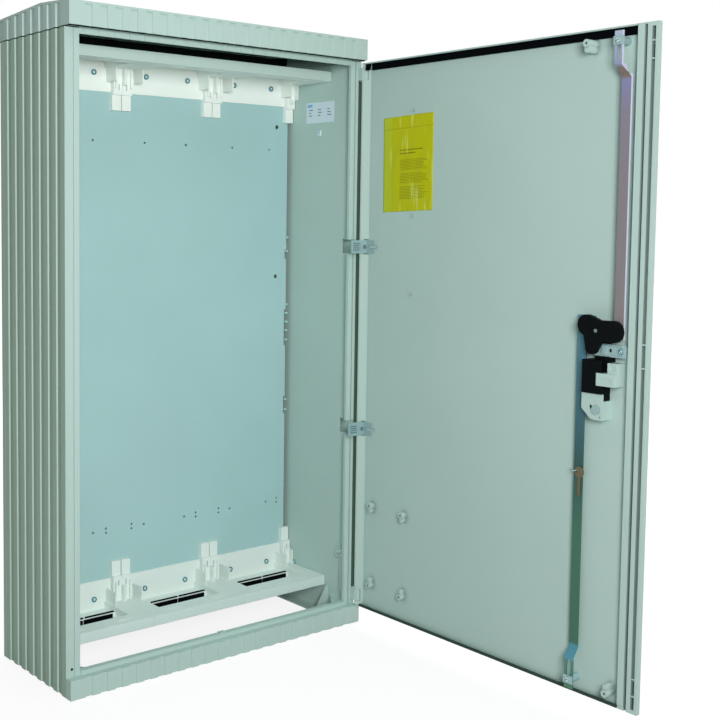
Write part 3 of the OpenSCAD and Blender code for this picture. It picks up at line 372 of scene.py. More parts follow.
# Geometry Nodes tree for a row of screw heads: washer ring, domed head, dark slot
def screwTree(name, spec, facing):
    tree = bpy.data.node_groups.new(name, "GeometryNodeTree")
    face = tree.interface
    face.new_socket("Geometry", in_out="INPUT", socket_type="NodeSocketGeometry")
    sockets = {}
    for key in ("ringRadius", "ringWire", "headRadius", "headRise", "slotLength", "slotWidth", "slotRise"):
        sockets[key] = face.new_socket(key, in_out="INPUT", socket_type="NodeSocketFloat")
        sockets[key].default_value = spec[key]
    face.new_socket("Geometry", in_out="OUTPUT", socket_type="NodeSocketGeometry")
    nodes, links = tree.nodes, tree.links
    source = nodes.new("NodeGroupInput")
    sink = nodes.new("NodeGroupOutput")
    join = nodes.new("GeometryNodeJoinGeometry")

    def branch(shape, mat):
        scatter = nodes.new("GeometryNodeInstanceOnPoints")
        scatter.inputs["Rotation"].default_value = facings[facing]
        solid = nodes.new("GeometryNodeRealizeInstances")
        paint = nodes.new("GeometryNodeSetMaterial")
        paint.inputs["Material"].default_value = mat
        links.new(source.outputs["Geometry"], scatter.inputs["Points"])
        links.new(shape, scatter.inputs["Instance"])
        links.new(scatter.outputs["Instances"], solid.inputs["Geometry"])
        links.new(solid.outputs["Geometry"], paint.inputs["Geometry"])
        links.new(paint.outputs["Geometry"], join.inputs["Geometry"])

    circle = nodes.new("GeometryNodeCurvePrimitiveCircle")
    circle.inputs["Resolution"].default_value = 28
    links.new(source.outputs["ringRadius"], circle.inputs["Radius"])
    wire = nodes.new("GeometryNodeCurvePrimitiveCircle")
    wire.inputs["Resolution"].default_value = 10
    links.new(source.outputs["ringWire"], wire.inputs["Radius"])
    ring = nodes.new("GeometryNodeCurveToMesh")
    links.new(circle.outputs["Curve"], ring.inputs["Curve"])
    links.new(wire.outputs["Curve"], ring.inputs["Profile Curve"])
    branch(ring.outputs["Mesh"], spec["ringMat"])

    dome = nodes.new("GeometryNodeMeshUVSphere")
    dome.inputs["Segments"].default_value = 24
    dome.inputs["Rings"].default_value = 12
    links.new(source.outputs["headRadius"], dome.inputs["Radius"])
    share = nodes.new("ShaderNodeMath")
    share.operation = "DIVIDE"
    links.new(source.outputs["headRise"], share.inputs[0])
    links.new(source.outputs["headRadius"], share.inputs[1])
    squat = nodes.new("ShaderNodeCombineXYZ")
    squat.inputs["X"].default_value = 1.0
    squat.inputs["Y"].default_value = 1.0
    links.new(share.outputs["Value"], squat.inputs["Z"])
    flat = nodes.new("GeometryNodeTransform")
    links.new(dome.outputs["Mesh"], flat.inputs["Geometry"])
    links.new(squat.outputs["Vector"], flat.inputs["Scale"])
    branch(flat.outputs["Geometry"], spec["headMat"])

    size = nodes.new("ShaderNodeCombineXYZ")
    links.new(source.outputs["slotLength"], size.inputs["X"])
    links.new(source.outputs["slotWidth"], size.inputs["Y"])
    links.new(source.outputs["slotRise"], size.inputs["Z"])
    bar = nodes.new("GeometryNodeMeshCube")
    links.new(size.outputs["Vector"], bar.inputs["Size"])
    tilt = nodes.new("GeometryNodeTransform")
    tilt.inputs["Rotation"].default_value = (0.0, 0.0, spec["slotTurn"])
    links.new(bar.outputs["Mesh"], tilt.inputs["Geometry"])
    branch(tilt.outputs["Geometry"], spec["slotMat"])
    links.new(join.outputs["Geometry"], sink.inputs["Geometry"])
    return tree, sockets


def bakePiece(obj, body):
    graph = bpy.context.evaluated_depsgraph_get()
    mesh = bpy.data.meshes.new_from_object(obj.evaluated_get(graph))
    obj.modifiers.clear()
    obj.data = mesh
    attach(obj, body)


def screws(name, points, facing, spec, body):
    obj = addPiece(name, points, [], [], None)
    tree, sockets = screwTree(name + "Tree", spec, facing)
    mod = obj.modifiers.new("heads", "NODES")
    mod.node_group = tree
    for key, socket in sockets.items():
        mod[socket.identifier] = spec[key]
    bakePiece(obj, body)
    return obj


# Tray screws: two on each tray, teal washer with a bright head
traySpec = {"ringRadius": 0.0048, "ringWire": 0.0016, "headRadius": 0.0034, "headRise": 0.0016,
            "slotLength": 0.0042, "slotWidth": 0.0007, "slotRise": 0.0034, "slotTurn": 0.6,
            "ringMat": tealMat, "headMat": brightMat, "slotMat": recessMat,
            "out": 0.057, "up": 0.011, "lip": 0.023}
trayNames = ["upper_tray_left", "upper_tray_middle", "upper_tray_right",
             "lower_tray_left", "lower_tray_middle", "lower_tray_right"]
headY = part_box("tray_screws")[0][1]
points = []
for name in trayNames:
    lo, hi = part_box(name)
    mid = (lo[0] + hi[0]) / 2
    rise = traySpec["lip"] + traySpec["up"]
    headZ = lo[2] + rise if "lower" in name else hi[2] - rise
    points += [(mid - traySpec["out"], headY, headZ), (mid + traySpec["out"], headY, headZ)]
screws("trayWashers", points, "front", traySpec, "cabinet")

# Slotted heads on the door fittings
lo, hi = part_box("catch_screws")
catchSpec = {"ringRadius": 0.0046, "ringWire": 0.0004, "headRadius": 0.0045, "headRise": 0.0006,
             "slotLength": 0.0066, "slotWidth": 0.0012, "slotRise": 0.0016, "slotTurn": 0.7,
             "ringMat": zincMat, "headMat": recessMat, "slotMat": brightMat, "left": 0.0004, "radius": 0.005}
catchX = (lo[0] + hi[0]) / 2 - catchSpec["left"]
edge = catchSpec["radius"]
points = [(catchX, lo[1], hi[2] - edge), (catchX, lo[1], lo[2] + edge)]
screws("catchHeads", points, "front", catchSpec, "door")
lo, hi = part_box("guide_screws")
guideSpec = {"ringRadius": 0.0042, "ringWire": 0.0006, "headRadius": 0.004, "headRise": 0.0009,
             "slotLength": 0.0068, "slotWidth": 0.0016, "slotRise": 0.0022, "slotTurn": 0.5,
             "ringMat": zincMat, "headMat": brightMat, "slotMat": recessMat, "radius": 0.005}
edge = guideSpec["radius"]
points = [(lo[0], lo[1] + edge, hi[2] - edge), (lo[0], hi[1] - edge, lo[2] + edge)]
screws("guideHeads", points, "side", guideSpec, "door")
lo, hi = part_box("strap_screw")
strapSpec = dict(guideSpec, ringMat=tealMat, ringRadius=0.0046, ringWire=0.001, slotTurn=-0.8)
screws("strapHead", [(lo[0], (lo[1] + hi[1]) / 2, (lo[2] + hi[2]) / 2)], "side", strapSpec, "door")
wallSpec = dict(traySpec, y=0.068, z=0.094)
wallDepth = 0.016  # outer face of a side wall to its inner face
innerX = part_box("right_side_wall")[1][0] - wallDepth
screws("wallScrew", [(innerX, wallSpec["y"], wallSpec["z"])], "side", wallSpec, "cabinet")
print("stage: screw heads")


# Geometry Nodes tree for rows of short bars
def barTree(name, mat):
    tree = bpy.data.node_groups.new(name, "GeometryNodeTree")
    tree.interface.new_socket("Geometry", in_out="INPUT", socket_type="NodeSocketGeometry")
    sockets = {}
    for key in ("length", "width", "height"):
        sockets[key] = tree.interface.new_socket(key, in_out="INPUT", socket_type="NodeSocketFloat")
    tree.interface.new_socket("Geometry", in_out="OUTPUT", socket_type="NodeSocketGeometry")
    nodes, links = tree.nodes, tree.links
    source = nodes.new("NodeGroupInput")
    sink = nodes.new("NodeGroupOutput")
    size = nodes.new("ShaderNodeCombineXYZ")
    bar = nodes.new("GeometryNodeMeshCube")
    scatter = nodes.new("GeometryNodeInstanceOnPoints")
    solid = nodes.new("GeometryNodeRealizeInstances")
    paint = nodes.new("GeometryNodeSetMaterial")
    paint.inputs["Material"].default_value = mat
    for key, axis in (("length", "X"), ("width", "Y"), ("height", "Z")):
        links.new(source.outputs[key], size.inputs[axis])
    links.new(size.outputs["Vector"], bar.inputs["Size"])
    links.new(source.outputs["Geometry"], scatter.inputs["Points"])
    links.new(bar.outputs["Mesh"], scatter.inputs["Instance"])
    links.new(scatter.outputs["Instances"], solid.inputs["Geometry"])
    links.new(solid.outputs["Geometry"], paint.inputs["Geometry"])
    links.new(paint.outputs["Geometry"], sink.inputs["Geometry"])
    return tree, sockets


def barRows(name, points, spec, mat, body):
    obj = addPiece(name, points, [], [], None)
    tree, sockets = barTree(name + "Tree", mat)
    mod = obj.modifiers.new("bars", "NODES")
    mod.node_group = tree
    for key, socket in sockets.items():
        mod[socket.identifier] = spec[key]
    bakePiece(obj, body)
    return obj


# Black strips that stand in the wells of the lower trays, with a pale rib between the rows
stripSpec = {
    "frontStrips": {"length": 0.072, "width": 0.0045, "height": 0.0105, "back": 0.079,
                    "mids": (-0.048, 0.028)},
    "midRibs": {"length": 0.156, "width": 0.0020, "height": 0.0118, "back": 0.0835, "mids": (-0.003,)},
    "rearStrips": {"length": 0.072, "width": 0.0045, "height": 0.0136, "back": 0.088,
                   "mids": (-0.042, 0.036)},
    "wellDrop": 0.015,
}
for rowName in ("frontStrips", "midRibs", "rearStrips"):
    spec = stripSpec[rowName]
    points = []
    for name in trayNames[3:]:
        lo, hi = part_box(name)
        floorZ = lo[2] + traySpec["lip"] - stripSpec["wellDrop"]
        for mid in spec["mids"]:
            points.append(((lo[0] + hi[0]) / 2 + mid, lo[1] + spec["back"], floorZ + spec["height"] / 2))
    if rowName == "midRibs":
        barRows(rowName, points, spec, lowTrayShadeMat, "cabinet")
    else:
        barRows(rowName, points, spec, sealMat, "cabinet")

# Shaded grooves between the ribs of the catches
grooveSpec = {"length": 0.020, "width": 0.0006, "height": 0.0016, "pitch": 0.005, "in": 0.014, "face": 0.005}
points = []
for name in ("upper_catch", "lower_catch"):
    lo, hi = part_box(name)
    for k in (-1.5, -0.5, 0.5, 1.5):
        points.append((lo[0] + grooveSpec["in"], hi[1] - grooveSpec["face"],
                       (lo[2] + hi[2]) / 2 + k * grooveSpec["pitch"]))
barRows("catchGrooves", points, grooveSpec, grooveMat, "door")

# Small clips on the right edge of the mounting plate
clipRow = {"length": 0.008, "width": 0.004, "height": 0.005, "past": 0.001,
           "heights": (0.925, 0.890, 0.755, 0.733, 0.711, 0.689, 0.665, 0.512, 0.486)}
lo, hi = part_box("mounting_plate")
points = [(hi[0] + clipRow["past"], lo[1], z) for z in clipRow["heights"]]
barRows("plateClips", points, clipRow, plateMat, "cabinet")
print("stage: strips, grooves and clips")

# Dark strip in the joint under the roof: painted shade under the fascia
jointShadeSpec = {"outer": 0.004, "inner": 0.0058, "low": 0.0002, "high": 0.0023}
lo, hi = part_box("roof_cover")
rings = []
for inset, height in ((jointShadeSpec["outer"], jointShadeSpec["low"]), (jointShadeSpec["outer"], jointShadeSpec["high"]),
                      (jointShadeSpec["inner"], jointShadeSpec["high"]), (jointShadeSpec["inner"], jointShadeSpec["low"])):
    x0, x1, y0, y1 = lo[0] + inset, hi[0] - inset, lo[1] + inset, hi[1] - inset
    z = lo[2] + height
    rings.append([(x0, y0, z), (x1, y0, z), (x1, y1, z), (x0, y1, z)])
verts = [v for ring in rings for v in ring]
faces = []
for j in range(4):
    for k in range(4):
        n, m = (k + 1) % 4, (j + 1) % 4
        faces.append((j * 4 + k, j * 4 + n, m * 4 + n, m * 4 + k))
addPiece("roofJointShade", verts, faces, [sealMat], "cabinet")

# Dark sheet along the rear of the roof space, above the upper trays: painted shade
roofShadeSpec = {"rear": 0.0035, "side": 0.003, "low": 1.328, "high": 1.376, "return": 0.035, "inset": 0.0165,
              "gap": 0.0002}
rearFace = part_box("rear_wall")[0][1]
lo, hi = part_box("roof_cover")
x0, x1 = lo[0] + roofShadeSpec["inset"], hi[0] - roofShadeSpec["inset"]
y0, y1 = rearFace - roofShadeSpec["return"], rearFace - roofShadeSpec["gap"]
z0, z1 = roofShadeSpec["low"], roofShadeSpec["high"]
side, rear = roofShadeSpec["side"], roofShadeSpec["rear"]
plan = [(x0, y0), (x0 + side, y0), (x0 + side, y1 - rear), (x1 - side, y1 - rear),
        (x1 - side, y0), (x1, y0), (x1, y1), (x0, y1)]
count = len(plan)
verts = [(x, y, z) for z in (z0, z1) for x, y in plan]
faces = []
for k in range(count):
    n = (k + 1) % count
    faces.append((k, n, n + count, k + count))
for a, b, c, d in ((0, 1, 2, 7), (2, 3, 6, 7), (3, 4, 5, 6)):
    faces.append((d, c, b, a))
    faces.append((a + count, b + count, c + count, d + count))
addPiece("roofShadeSheet", verts, faces, [roofShadeMat], "cabinet")

# End of the top seal across the hinge side rim of the door
lo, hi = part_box("door_top_seal")
sealSpec = {"rim": 0.011, "thick": 0.0009, "soft": 0.0012, "to": -0.168, "midOut": 0.6, "midDown": 0.2}
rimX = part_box("document_pouch")[1][0] - sealSpec["rim"]
thick, soft = sealSpec["thick"], sealSpec["soft"]
midX, midDown = rimX - thick * sealSpec["midOut"], soft * sealSpec["midDown"]
outline = [(rimX, lo[2]), (rimX, hi[2]), (midX, hi[2] - midDown), (rimX - thick, hi[2] - soft),
           (rimX - thick, lo[2] + soft), (midX, lo[2] + midDown)]
verts, faces = extruded(outline, hi[1], sealSpec["to"])
addPiece("topSealEnd", verts, faces, [sealMat], "door")

# Gussets between the side walls and their feet, and a lug on the right wall
gussetSpec = {"reach": 0.041, "tip": 0.004, "low": 0.004, "high": 0.064, "y": (-0.064, -0.058)}
low, high = gussetSpec["low"], gussetSpec["high"]
reach, tip = gussetSpec["reach"], gussetSpec["tip"]
shapes = []
for node in ("right_side_wall", "left_side_wall"):
    lo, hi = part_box(node)
    if node == "right_side_wall":
        base = hi[0] - wallDepth
        outline = [(base - reach, low), (base, low), (base, high), (base - tip, high)]
    else:
        base = lo[0] + wallDepth
        outline = [(base, low), (base + reach, low), (base + tip, high), (base, high)]
    shapes.append((extruded(outline, *gussetSpec["y"]), 0))
verts, faces, marks = joinShapes(shapes)
addPiece("footGussets", verts, faces, [shellMat], "cabinet", marks)
lugSpec = {"y": -0.104, "z": 0.158, "radius": 0.010, "rise": 0.008, "hole": 0.0032, "count": 20,
           "shoulder": 0.8, "floor": 0.4, "plug": 0.45, "tabHalf": 0.005, "tabRise": 0.0048, "tabUp": 0.018}
clipSpec = {"y": -0.010, "z": 1.181, "radius": 0.0095, "rise": 0.003, "hole": 0.0032, "count": 4,
            "shoulder": 0.7, "floor": 0.3, "plug": 0.35}


# Boss with a chamfered rim and a blind hole, whose floor carries painted shade, on the inner face of the
# right wall
def holedBoss(spec, phase=0.0):
    spot = (innerX, spec["y"], spec["z"])
    radius, rise, hole = spec["radius"], spec["rise"], spec["hole"]
    chamfer, plugFit, plugCount = 0.85, 0.9, 12
    profile = [(radius, 0.0), (radius, rise * spec["shoulder"]), (radius * chamfer, rise), (hole, rise),
               (hole, rise * spec["floor"])]
    plug = [(hole * plugFit, rise * spec["floor"]), (hole * plugFit, rise * spec["plug"])]
    boss = turned(profile, spec["count"], spot, "side", phase)
    return [(boss, 0), (turned(plug, plugCount, spot, "side"), 1)]


tabLow = (innerX - lugSpec["tabRise"], lugSpec["y"] - lugSpec["tabHalf"], lugSpec["z"])
tabHigh = (innerX, lugSpec["y"] + lugSpec["tabHalf"], lugSpec["z"] + lugSpec["tabUp"])
shapes = holedBoss(lugSpec) + [(slab(tabLow, tabHigh), 0)]
verts, faces, marks = joinShapes(shapes)
addPiece("wallLug", verts, faces, [shellMat, recessMat], "cabinet", marks)

# Blank label and square clip on the inner wall
labelSpec = {"y": (-0.0635, 0.040), "z": (1.207, 1.257), "thick": 0.0004, "proud": 0.00015,
             "columns": (0.10, 0.43, 0.76), "rows": (0.62, 0.48, 0.34), "barLength": 0.14,
             "barHeight": 0.0022, "shorter": 0.22, "field": ((0.04, 0.22), (0.78, 0.92))}
y0, y1 = labelSpec["y"]
z0, z1 = labelSpec["z"]
faceX = innerX - labelSpec["thick"]


def labelBar(u0, u1, low, high):  # u runs from the rear of the label to its front
    return slab((faceX - labelSpec["proud"], y1 - u1 * (y1 - y0), low), (faceX, y1 - u0 * (y1 - y0), high))


shapes = [(slab((faceX, y0, z0), (innerX, y1, z1)), 0)]
for c, column in enumerate(labelSpec["columns"]):
    for r, row in enumerate(labelSpec["rows"]):
        length = labelSpec["barLength"] * (1.0 - labelSpec["shorter"] * ((c + 2 * r) % 3))
        mid = z0 + row * (z1 - z0)
        shapes.append((labelBar(column, column + length, mid, mid + labelSpec["barHeight"]), 1))
(u0, u1), (v0, v1) = labelSpec["field"]
shapes.append((labelBar(u0, u1, z0 + v0 * (z1 - z0), z0 + v1 * (z1 - z0)), 2))
verts, faces, marks = joinShapes(shapes)
addPiece("wallLabel", verts, faces, [labelMat, printMat, fieldMat], "cabinet", marks)

verts, faces, marks = joinShapes(holedBoss(clipSpec, math.pi / 4))
addPiece("wallClip", verts, faces, [labelMat, recessMat], "cabinet", marks)

# Small pits in the left post
pitSpec = {"x": -0.379, "behindSill": 0.020, "heights": (1.248, 0.142), "screw": 0.057,
           "profile": [(0.0022, 0.0), (0.00176, 0.0004), (0.0011, 0.00012)], "count": 16,
           "screwProfile": [(0.0034, 0.0), (0.0034, 0.0006), (0.0022, 0.0010), (0.0010, 0.0004)]}
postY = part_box("front_sill")[0][1] + pitSpec["behindSill"]
shapes = []
for height in pitSpec["heights"]:
    spot = (pitSpec["x"], postY, height)
    shapes.append((turned(pitSpec["profile"], pitSpec["count"], spot, "front"), 0))
spot = (pitSpec["x"], postY, pitSpec["screw"])
shapes.append((turned(pitSpec["screwProfile"], 4, spot, "front"), 1))
verts, faces, marks = joinShapes(shapes)
addPiece("postPits", verts, faces, [whiteMat, recessMat], "cabinet", marks)
print("stage: wall and roof trim")


# Document pouch: welded film with a slight bulge, a folded flap and plain printed bars
pouchSpec = {"border": 0.05, "film": 0.0004, "bulge": 0.0011, "crease": 0.00045, "columns": 52, "rows": 72,
             "tilt": 0.036, "lift": 0.004, "gap": 0.0001, "flap": 0.0003, "flapFrom": 0.87}


def pouchFilm(name, spec):
    mat = bpy.data.materials.new(name)
    mat.use_nodes = True
    nodes, links = mat.node_tree.nodes, mat.node_tree.links
    bsdf = nodes["Principled BSDF"]
    bsdf.inputs["Roughness"].default_value = 0.3
    bsdf.inputs["Specular IOR Level"].default_value = 0.12
    uv = nodes.new("ShaderNodeUVMap")
    uv.uv_map = "film"
    part = nodes.new("ShaderNodeSeparateXYZ")
    links.new(uv.outputs["UV"], part.inputs["Vector"])

    def math2(kind, a, b):
        node = nodes.new("ShaderNodeMath")
        node.operation = kind
        for k, value in enumerate((a, b)):
            if isinstance(value, (int, float)):
                node.inputs[k].default_value = value
            else:
                links.new(value, node.inputs[k])
        return node.outputs["Value"]

    def between(value, low, high):
        return math2("MULTIPLY", math2("GREATER_THAN", value, low), math2("LESS_THAN", value, high))

    u, v = part.outputs["X"], part.outputs["Y"]
    lines = math2("MULTIPLY", v, spec["lines"])
    row = math2("FLOOR", lines, 0.0)
    ragged = nodes.new("ShaderNodeTexWhiteNoise")
    ragged.noise_dimensions = "1D"
    links.new(row, ragged.inputs["W"])
    stop = math2("MULTIPLY_ADD", ragged.outputs["Value"], -spec["ragged"])
    stop.node.inputs[2].default_value = spec["right"]
    body = math2("MULTIPLY", math2("GREATER_THAN", u, spec["left"]), math2("LESS_THAN", u, stop))
    body = math2("MULTIPLY", body, between(math2("FRACT", lines, 0.0), 0.3, 0.72))
    blocks = between(v, *spec["blocks"][0])
    for low, high in spec["blocks"][1:]:
        blocks = math2("ADD", blocks, between(v, low, high))
    ink = math2("MULTIPLY", body, blocks)
    for low, high, end in spec["heads"]:
        ink = math2("ADD", ink, math2("MULTIPLY", between(v, low, high), between(u, spec["left"], end)))
    ink = math2("MULTIPLY", ink, spec["ink"])
    fold = between(v, *spec["fold"])
    strip = between(u, 0.0, spec["strip"])
    shade = nodes.new("ShaderNodeMix")
    shade.data_type = "RGBA"
    shade.inputs["A"].default_value = spec["color"]
    shade.inputs["B"].default_value = spec["stripColor"]
    links.new(strip, shade.inputs["Factor"])
    printed = nodes.new("ShaderNodeMix")
    printed.data_type = "RGBA"
    printed.inputs["B"].default_value = spec["inkColor"]
    links.new(shade.outputs["Result"], printed.inputs["A"])
    links.new(math2("MAXIMUM", ink, math2("MULTIPLY", fold, 0.4)), printed.inputs["Factor"])
    # Light-yellow streaks in the film colour: painted highlight along the creases
    slim = nodes.new("ShaderNodeMapping")
    slim.inputs["Scale"].default_value = (15.0, 2.2, 1.0)
    slim.inputs["Rotation"].default_value = (0.0, 0.0, 0.12)
    links.new(uv.outputs["UV"], slim.inputs["Vector"])
    streak = nodes.new("ShaderNodeTexNoise")
    streak.inputs["Scale"].default_value = 1.0
    streak.inputs["Detail"].default_value = 1.0
    links.new(slim.outputs["Vector"], streak.inputs["Vector"])
    paintedShine = nodes.new("ShaderNodeMapRange")
    paintedShine.inputs["From Min"].default_value = 0.6
    paintedShine.inputs["From Max"].default_value = 0.72
    paintedShine.inputs["To Max"].default_value = 0.55
    links.new(streak.outputs["Fac"], paintedShine.inputs["Value"])
    sheenMix = nodes.new("ShaderNodeMix")
    sheenMix.data_type = "RGBA"
    sheenMix.inputs["B"].default_value = spec["paintedShine"]
    links.new(paintedShine.outputs["Result"], sheenMix.inputs["Factor"])
    links.new(printed.outputs["Result"], sheenMix.inputs["A"])
    links.new(sheenMix.outputs["Result"], bsdf.inputs["Base Color"])
    coord = nodes.new("ShaderNodeTexCoord")
    ripple = nodes.new("ShaderNodeTexNoise")
    ripple.inputs["Scale"].default_value = 45.0
    ripple.inputs["Detail"].default_value = 1.0
    links.new(coord.outputs["Object"], ripple.inputs["Vector"])
    bump = nodes.new("ShaderNodeBump")
    bump.inputs["Strength"].default_value = 0.25
    bump.inputs["Distance"].default_value = 0.001
    links.new(ripple.outputs["Fac"], bump.inputs["Height"])
    links.new(bump.outputs["Normal"], bsdf.inputs["Normal"])
    return mat


filmSpec = {"lines": 64, "left": 0.34, "right": 0.92, "ragged": 0.16, "ink": 0.55, "strip": 0.17,
            "blocks": ((0.13, 0.27), (0.29, 0.40), (0.43, 0.545)), "fold": (0.868, 0.874),
            "heads": ((0.60, 0.615, 0.66), (0.635, 0.65, 0.80)), "color": srgb(190, 192, 14),
            "stripColor": srgb(186, 198, 44), "inkColor": srgb(86, 82, 4), "paintedShine": srgb(222, 226, 120)}
filmMat = pouchFilm("yellowFilm", filmSpec)
lo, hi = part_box("document_pouch")
columns, rows = pouchSpec["columns"], pouchSpec["rows"]
midY, midZ = (lo[1] + hi[1]) / 2, (lo[2] + hi[2]) / 2


def ease(t):  # zero on the welded border, one inside
    edge = min(t, 1.0 - t) / pouchSpec["border"]
    edge = max(0.0, min(1.0, edge - 0.4))
    return edge * edge * (3 - 2 * edge)


def filmPoint(u, v, front):
    y, z = hi[1] - u * (hi[1] - lo[1]), lo[2] + v * (hi[2] - lo[2])
    turn = pouchSpec["tilt"]
    dy, dz = y - midY, z - midZ
    y, z = midY + dy + turn * dz * 0.2, midZ + dz - turn * dy + pouchSpec["lift"]
    if not front:
        return (hi[0] - pouchSpec["gap"], y, z)
    full = ease(u) * ease(v)
    swell = math.sin(math.pi * u) * math.sin(math.pi * min(1.0, v * 1.1)) * pouchSpec["bulge"]
    crease = math.sin(23.0 * u + 3.0 * math.sin(5.0 * v)) * math.sin(math.pi * v) ** 2 * pouchSpec["crease"]
    flap = pouchSpec["flap"] if v > pouchSpec["flapFrom"] else 0.0
    return (hi[0] - pouchSpec["gap"] - pouchSpec["film"] - flap - full * max(0.0, swell + crease), y, z)


verts, faces = [], []
for front in (True, False):
    for j in range(rows + 1):
        for i in range(columns + 1):
            verts.append(filmPoint(i / columns, j / rows, front))
stride = columns + 1
offset = stride * (rows + 1)
for j in range(rows):
    for i in range(columns):
        a = j * stride + i
        faces.append((a, a + 1, a + 1 + stride, a + stride))
        faces.append((offset + a, offset + a + stride, offset + a + 1 + stride, offset + a + 1))
rim = list(range(columns)) + [j * stride + columns for j in range(rows)]
rim += [rows * stride + i for i in range(columns, 0, -1)] + [j * stride for j in range(rows, 0, -1)]
for k, a in enumerate(rim):
    b = rim[(k + 1) % len(rim)]
    faces.append((a, offset + a, offset + b, b))
pouch = addPiece("documentPouch", verts, faces, [filmMat], "door")
layer = pouch.data.uv_layers.new(name="film")
for loop in pouch.data.loops:
    k = loop.vertex_index % offset
    layer.data[loop.index].uv = ((k % stride) / columns, (k // stride) / rows)
for poly in pouch.data.polygons:
    poly.use_smooth = True
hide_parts("document_pouch")
print("stage: pouch")

# Camera at the photo's view; focal and centre are in pixels of a square image
viewSpec = {"focal": 1156.79564, "yaw": -0.66189, "pitch": 0.07124, "roll": 0.00949, "image": 720.0,
            "centre": (260.0, 300.0), "sensor": 36.0, "eye": (-1.488859, -2.173528, 0.974712)}


def turn(rx, ry, rz):
    cx, cy, cz = math.cos(rx), math.cos(ry), math.cos(rz)
    sx, sy, sz = math.sin(rx), math.sin(ry), math.sin(rz)
    a = np.array([[1, 0, 0], [0, cx, -sx], [0, sx, cx]])
    b = np.array([[cy, 0, sy], [0, 1, 0], [-sy, 0, cy]])
    c = np.array([[cz, -sz, 0], [sz, cz, 0], [0, 0, 1]])
    return c @ a @ b


worldToCamera = np.array([[1, 0, 0], [0, 0, -1], [0, 1, 0]])
look = turn(viewSpec["pitch"], viewSpec["yaw"], viewSpec["roll"]) @ worldToCamera
image = viewSpec["image"]
cam = bpy.data.cameras.new("photoCamera")
cam.sensor_width = viewSpec["sensor"]
cam.lens = viewSpec["focal"] * viewSpec["sensor"] / image
cam.shift_x = (image / 2 - viewSpec["centre"][0]) / image
cam.shift_y = (viewSpec["centre"][1] - image / 2) / image
cam.clip_end = 60.0
camObj = bpy.data.objects.new("photoCamera", cam)
scene.collection.objects.link(camObj)
axes = np.eye(4)
axes[:3, 0], axes[:3, 1], axes[:3, 2], axes[:3, 3] = look[0], -look[1], -look[2], viewSpec["eye"]
camObj.matrix_world = Matrix(axes.tolist())
scene.camera = camObj

# White floor that keeps a soft shadow, and a white surround for camera, gloss and glass
floorSpec = {"half": 14.0, "drop": 0.001, "glow": 0.84, "far": 1.0, "near": 1.6, "fade": 4.5,
             "color": (0.5, 0.5, 0.5, 1.0), "seen": (0.2, 0.2, 0.2, 1.0)}


def seenDirectly(nodes, links):  # one for camera, glossy and transmission rays
    path = nodes.new("ShaderNodeLightPath")
    value = path.outputs["Is Camera Ray"]
    for ray in ("Is Glossy Ray", "Is Transmission Ray"):
        most = nodes.new("ShaderNodeMath")
        most.operation = "MAXIMUM"
        links.new(value, most.inputs[0])
        links.new(path.outputs[ray], most.inputs[1])
        value = most.outputs["Value"]
    return value


half, down = floorSpec["half"], -floorSpec["drop"]
floorMat = bpy.data.materials.new("floorWhite")
floorMat.use_nodes = True
nodes, links = floorMat.node_tree.nodes, floorMat.node_tree.links
matte = nodes["Principled BSDF"]
direct = seenDirectly(nodes, links)
tone = nodes.new("ShaderNodeMix")
tone.data_type = "RGBA"
tone.inputs["A"].default_value = floorSpec["color"]
tone.inputs["B"].default_value = floorSpec["seen"]
links.new(direct, tone.inputs["Factor"])
links.new(tone.outputs["Result"], matte.inputs["Base Color"])
matte.inputs["Roughness"].default_value = 1.0
matte.inputs["Specular IOR Level"].default_value = 0.0
glow = nodes.new("ShaderNodeEmission")
glow.inputs["Color"].default_value = (1, 1, 1, 1)
level = nodes.new("ShaderNodeMath")
level.operation = "MULTIPLY"
coord = nodes.new("ShaderNodeTexCoord")
away = nodes.new("ShaderNodeVectorMath")
away.operation = "LENGTH"
links.new(coord.outputs["Object"], away.inputs[0])
lift = nodes.new("ShaderNodeMapRange")  # full white far from the object, where the lamps fade
lift.inputs["From Min"].default_value = floorSpec["near"]
lift.inputs["From Max"].default_value = floorSpec["fade"]
lift.inputs["To Min"].default_value = floorSpec["glow"]
lift.inputs["To Max"].default_value = floorSpec["far"]
links.new(away.outputs["Value"], lift.inputs["Value"])
links.new(direct, level.inputs[0])
links.new(lift.outputs["Result"], level.inputs[1])
links.new(level.outputs["Value"], glow.inputs["Strength"])
both = nodes.new("ShaderNodeAddShader")
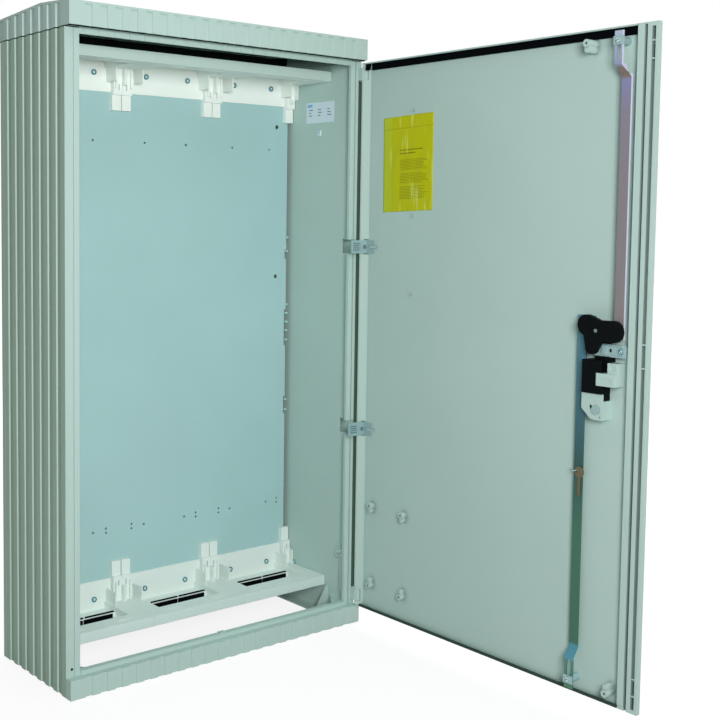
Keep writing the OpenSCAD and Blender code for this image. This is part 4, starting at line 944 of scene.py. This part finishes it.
links.new(matte.outputs["BSDF"], both.inputs[0])
links.new(glow.outputs["Emission"], both.inputs[1])
links.new(both.outputs["Shader"], nodes["Material Output"].inputs["Surface"])
corners = [(-half, -half, down), (half, -half, down), (half, half, down), (-half, half, down)]
floor = addPiece("floor", corners, [(0, 1, 2, 3)], [floorMat], None)
floor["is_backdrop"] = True

worldLevel = 0.22
world = bpy.data.worlds.new("studio")
scene.world = world
world.use_nodes = True
nodes, links = world.node_tree.nodes, world.node_tree.links
back = nodes["Background"]
back.inputs["Color"].default_value = (1, 1, 1, 1)
back.inputs["Strength"].default_value = worldLevel
white = nodes.new("ShaderNodeBackground")
white.inputs["Color"].default_value = (1, 1, 1, 1)
pick = nodes.new("ShaderNodeMixShader")
links.new(seenDirectly(nodes, links), pick.inputs["Fac"])
links.new(back.outputs["Background"], pick.inputs[1])
links.new(white.outputs["Background"], pick.inputs[2])
links.new(pick.outputs["Shader"], nodes["World Output"].inputs["Surface"])

lamps = {
    "keyLamp": {"at": (-1.3, -2.6, 1.3), "to": (0.1, -0.2, 0.7), "size": 0.8, "power": 58},
    "topLamp": {"at": (0.1, -1.6, 3.6), "to": (0.1, -0.1, 0.6), "size": 2.2, "power": 16},
    "rearLamp": {"at": (1.2, 3.6, 1.9), "to": (0.1, 0.0, 0.7), "size": 2.2, "power": 75},
    "sideLamp": {"at": (2.8, 0.9, 2.6), "to": (0.3, -0.2, 0.8), "size": 2.0, "power": 70},
}
for name, spec in lamps.items():
    light = bpy.data.lights.new(name, "AREA")
    light.size = spec["size"]
    light.energy = spec["power"]
    lamp = bpy.data.objects.new(name, light)
    scene.collection.objects.link(lamp)
    lamp.location = spec["at"]
    aim = np.array(spec["to"]) - np.array(spec["at"])
    yawAng = math.atan2(aim[0], -aim[1])
    tilt = math.atan2(math.hypot(aim[0], aim[1]), -aim[2])
    lamp.rotation_euler = (tilt, 0.0, yawAng + math.pi)
scene.view_settings.view_transform = "Standard"
print("stage: camera and light")

low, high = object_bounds()
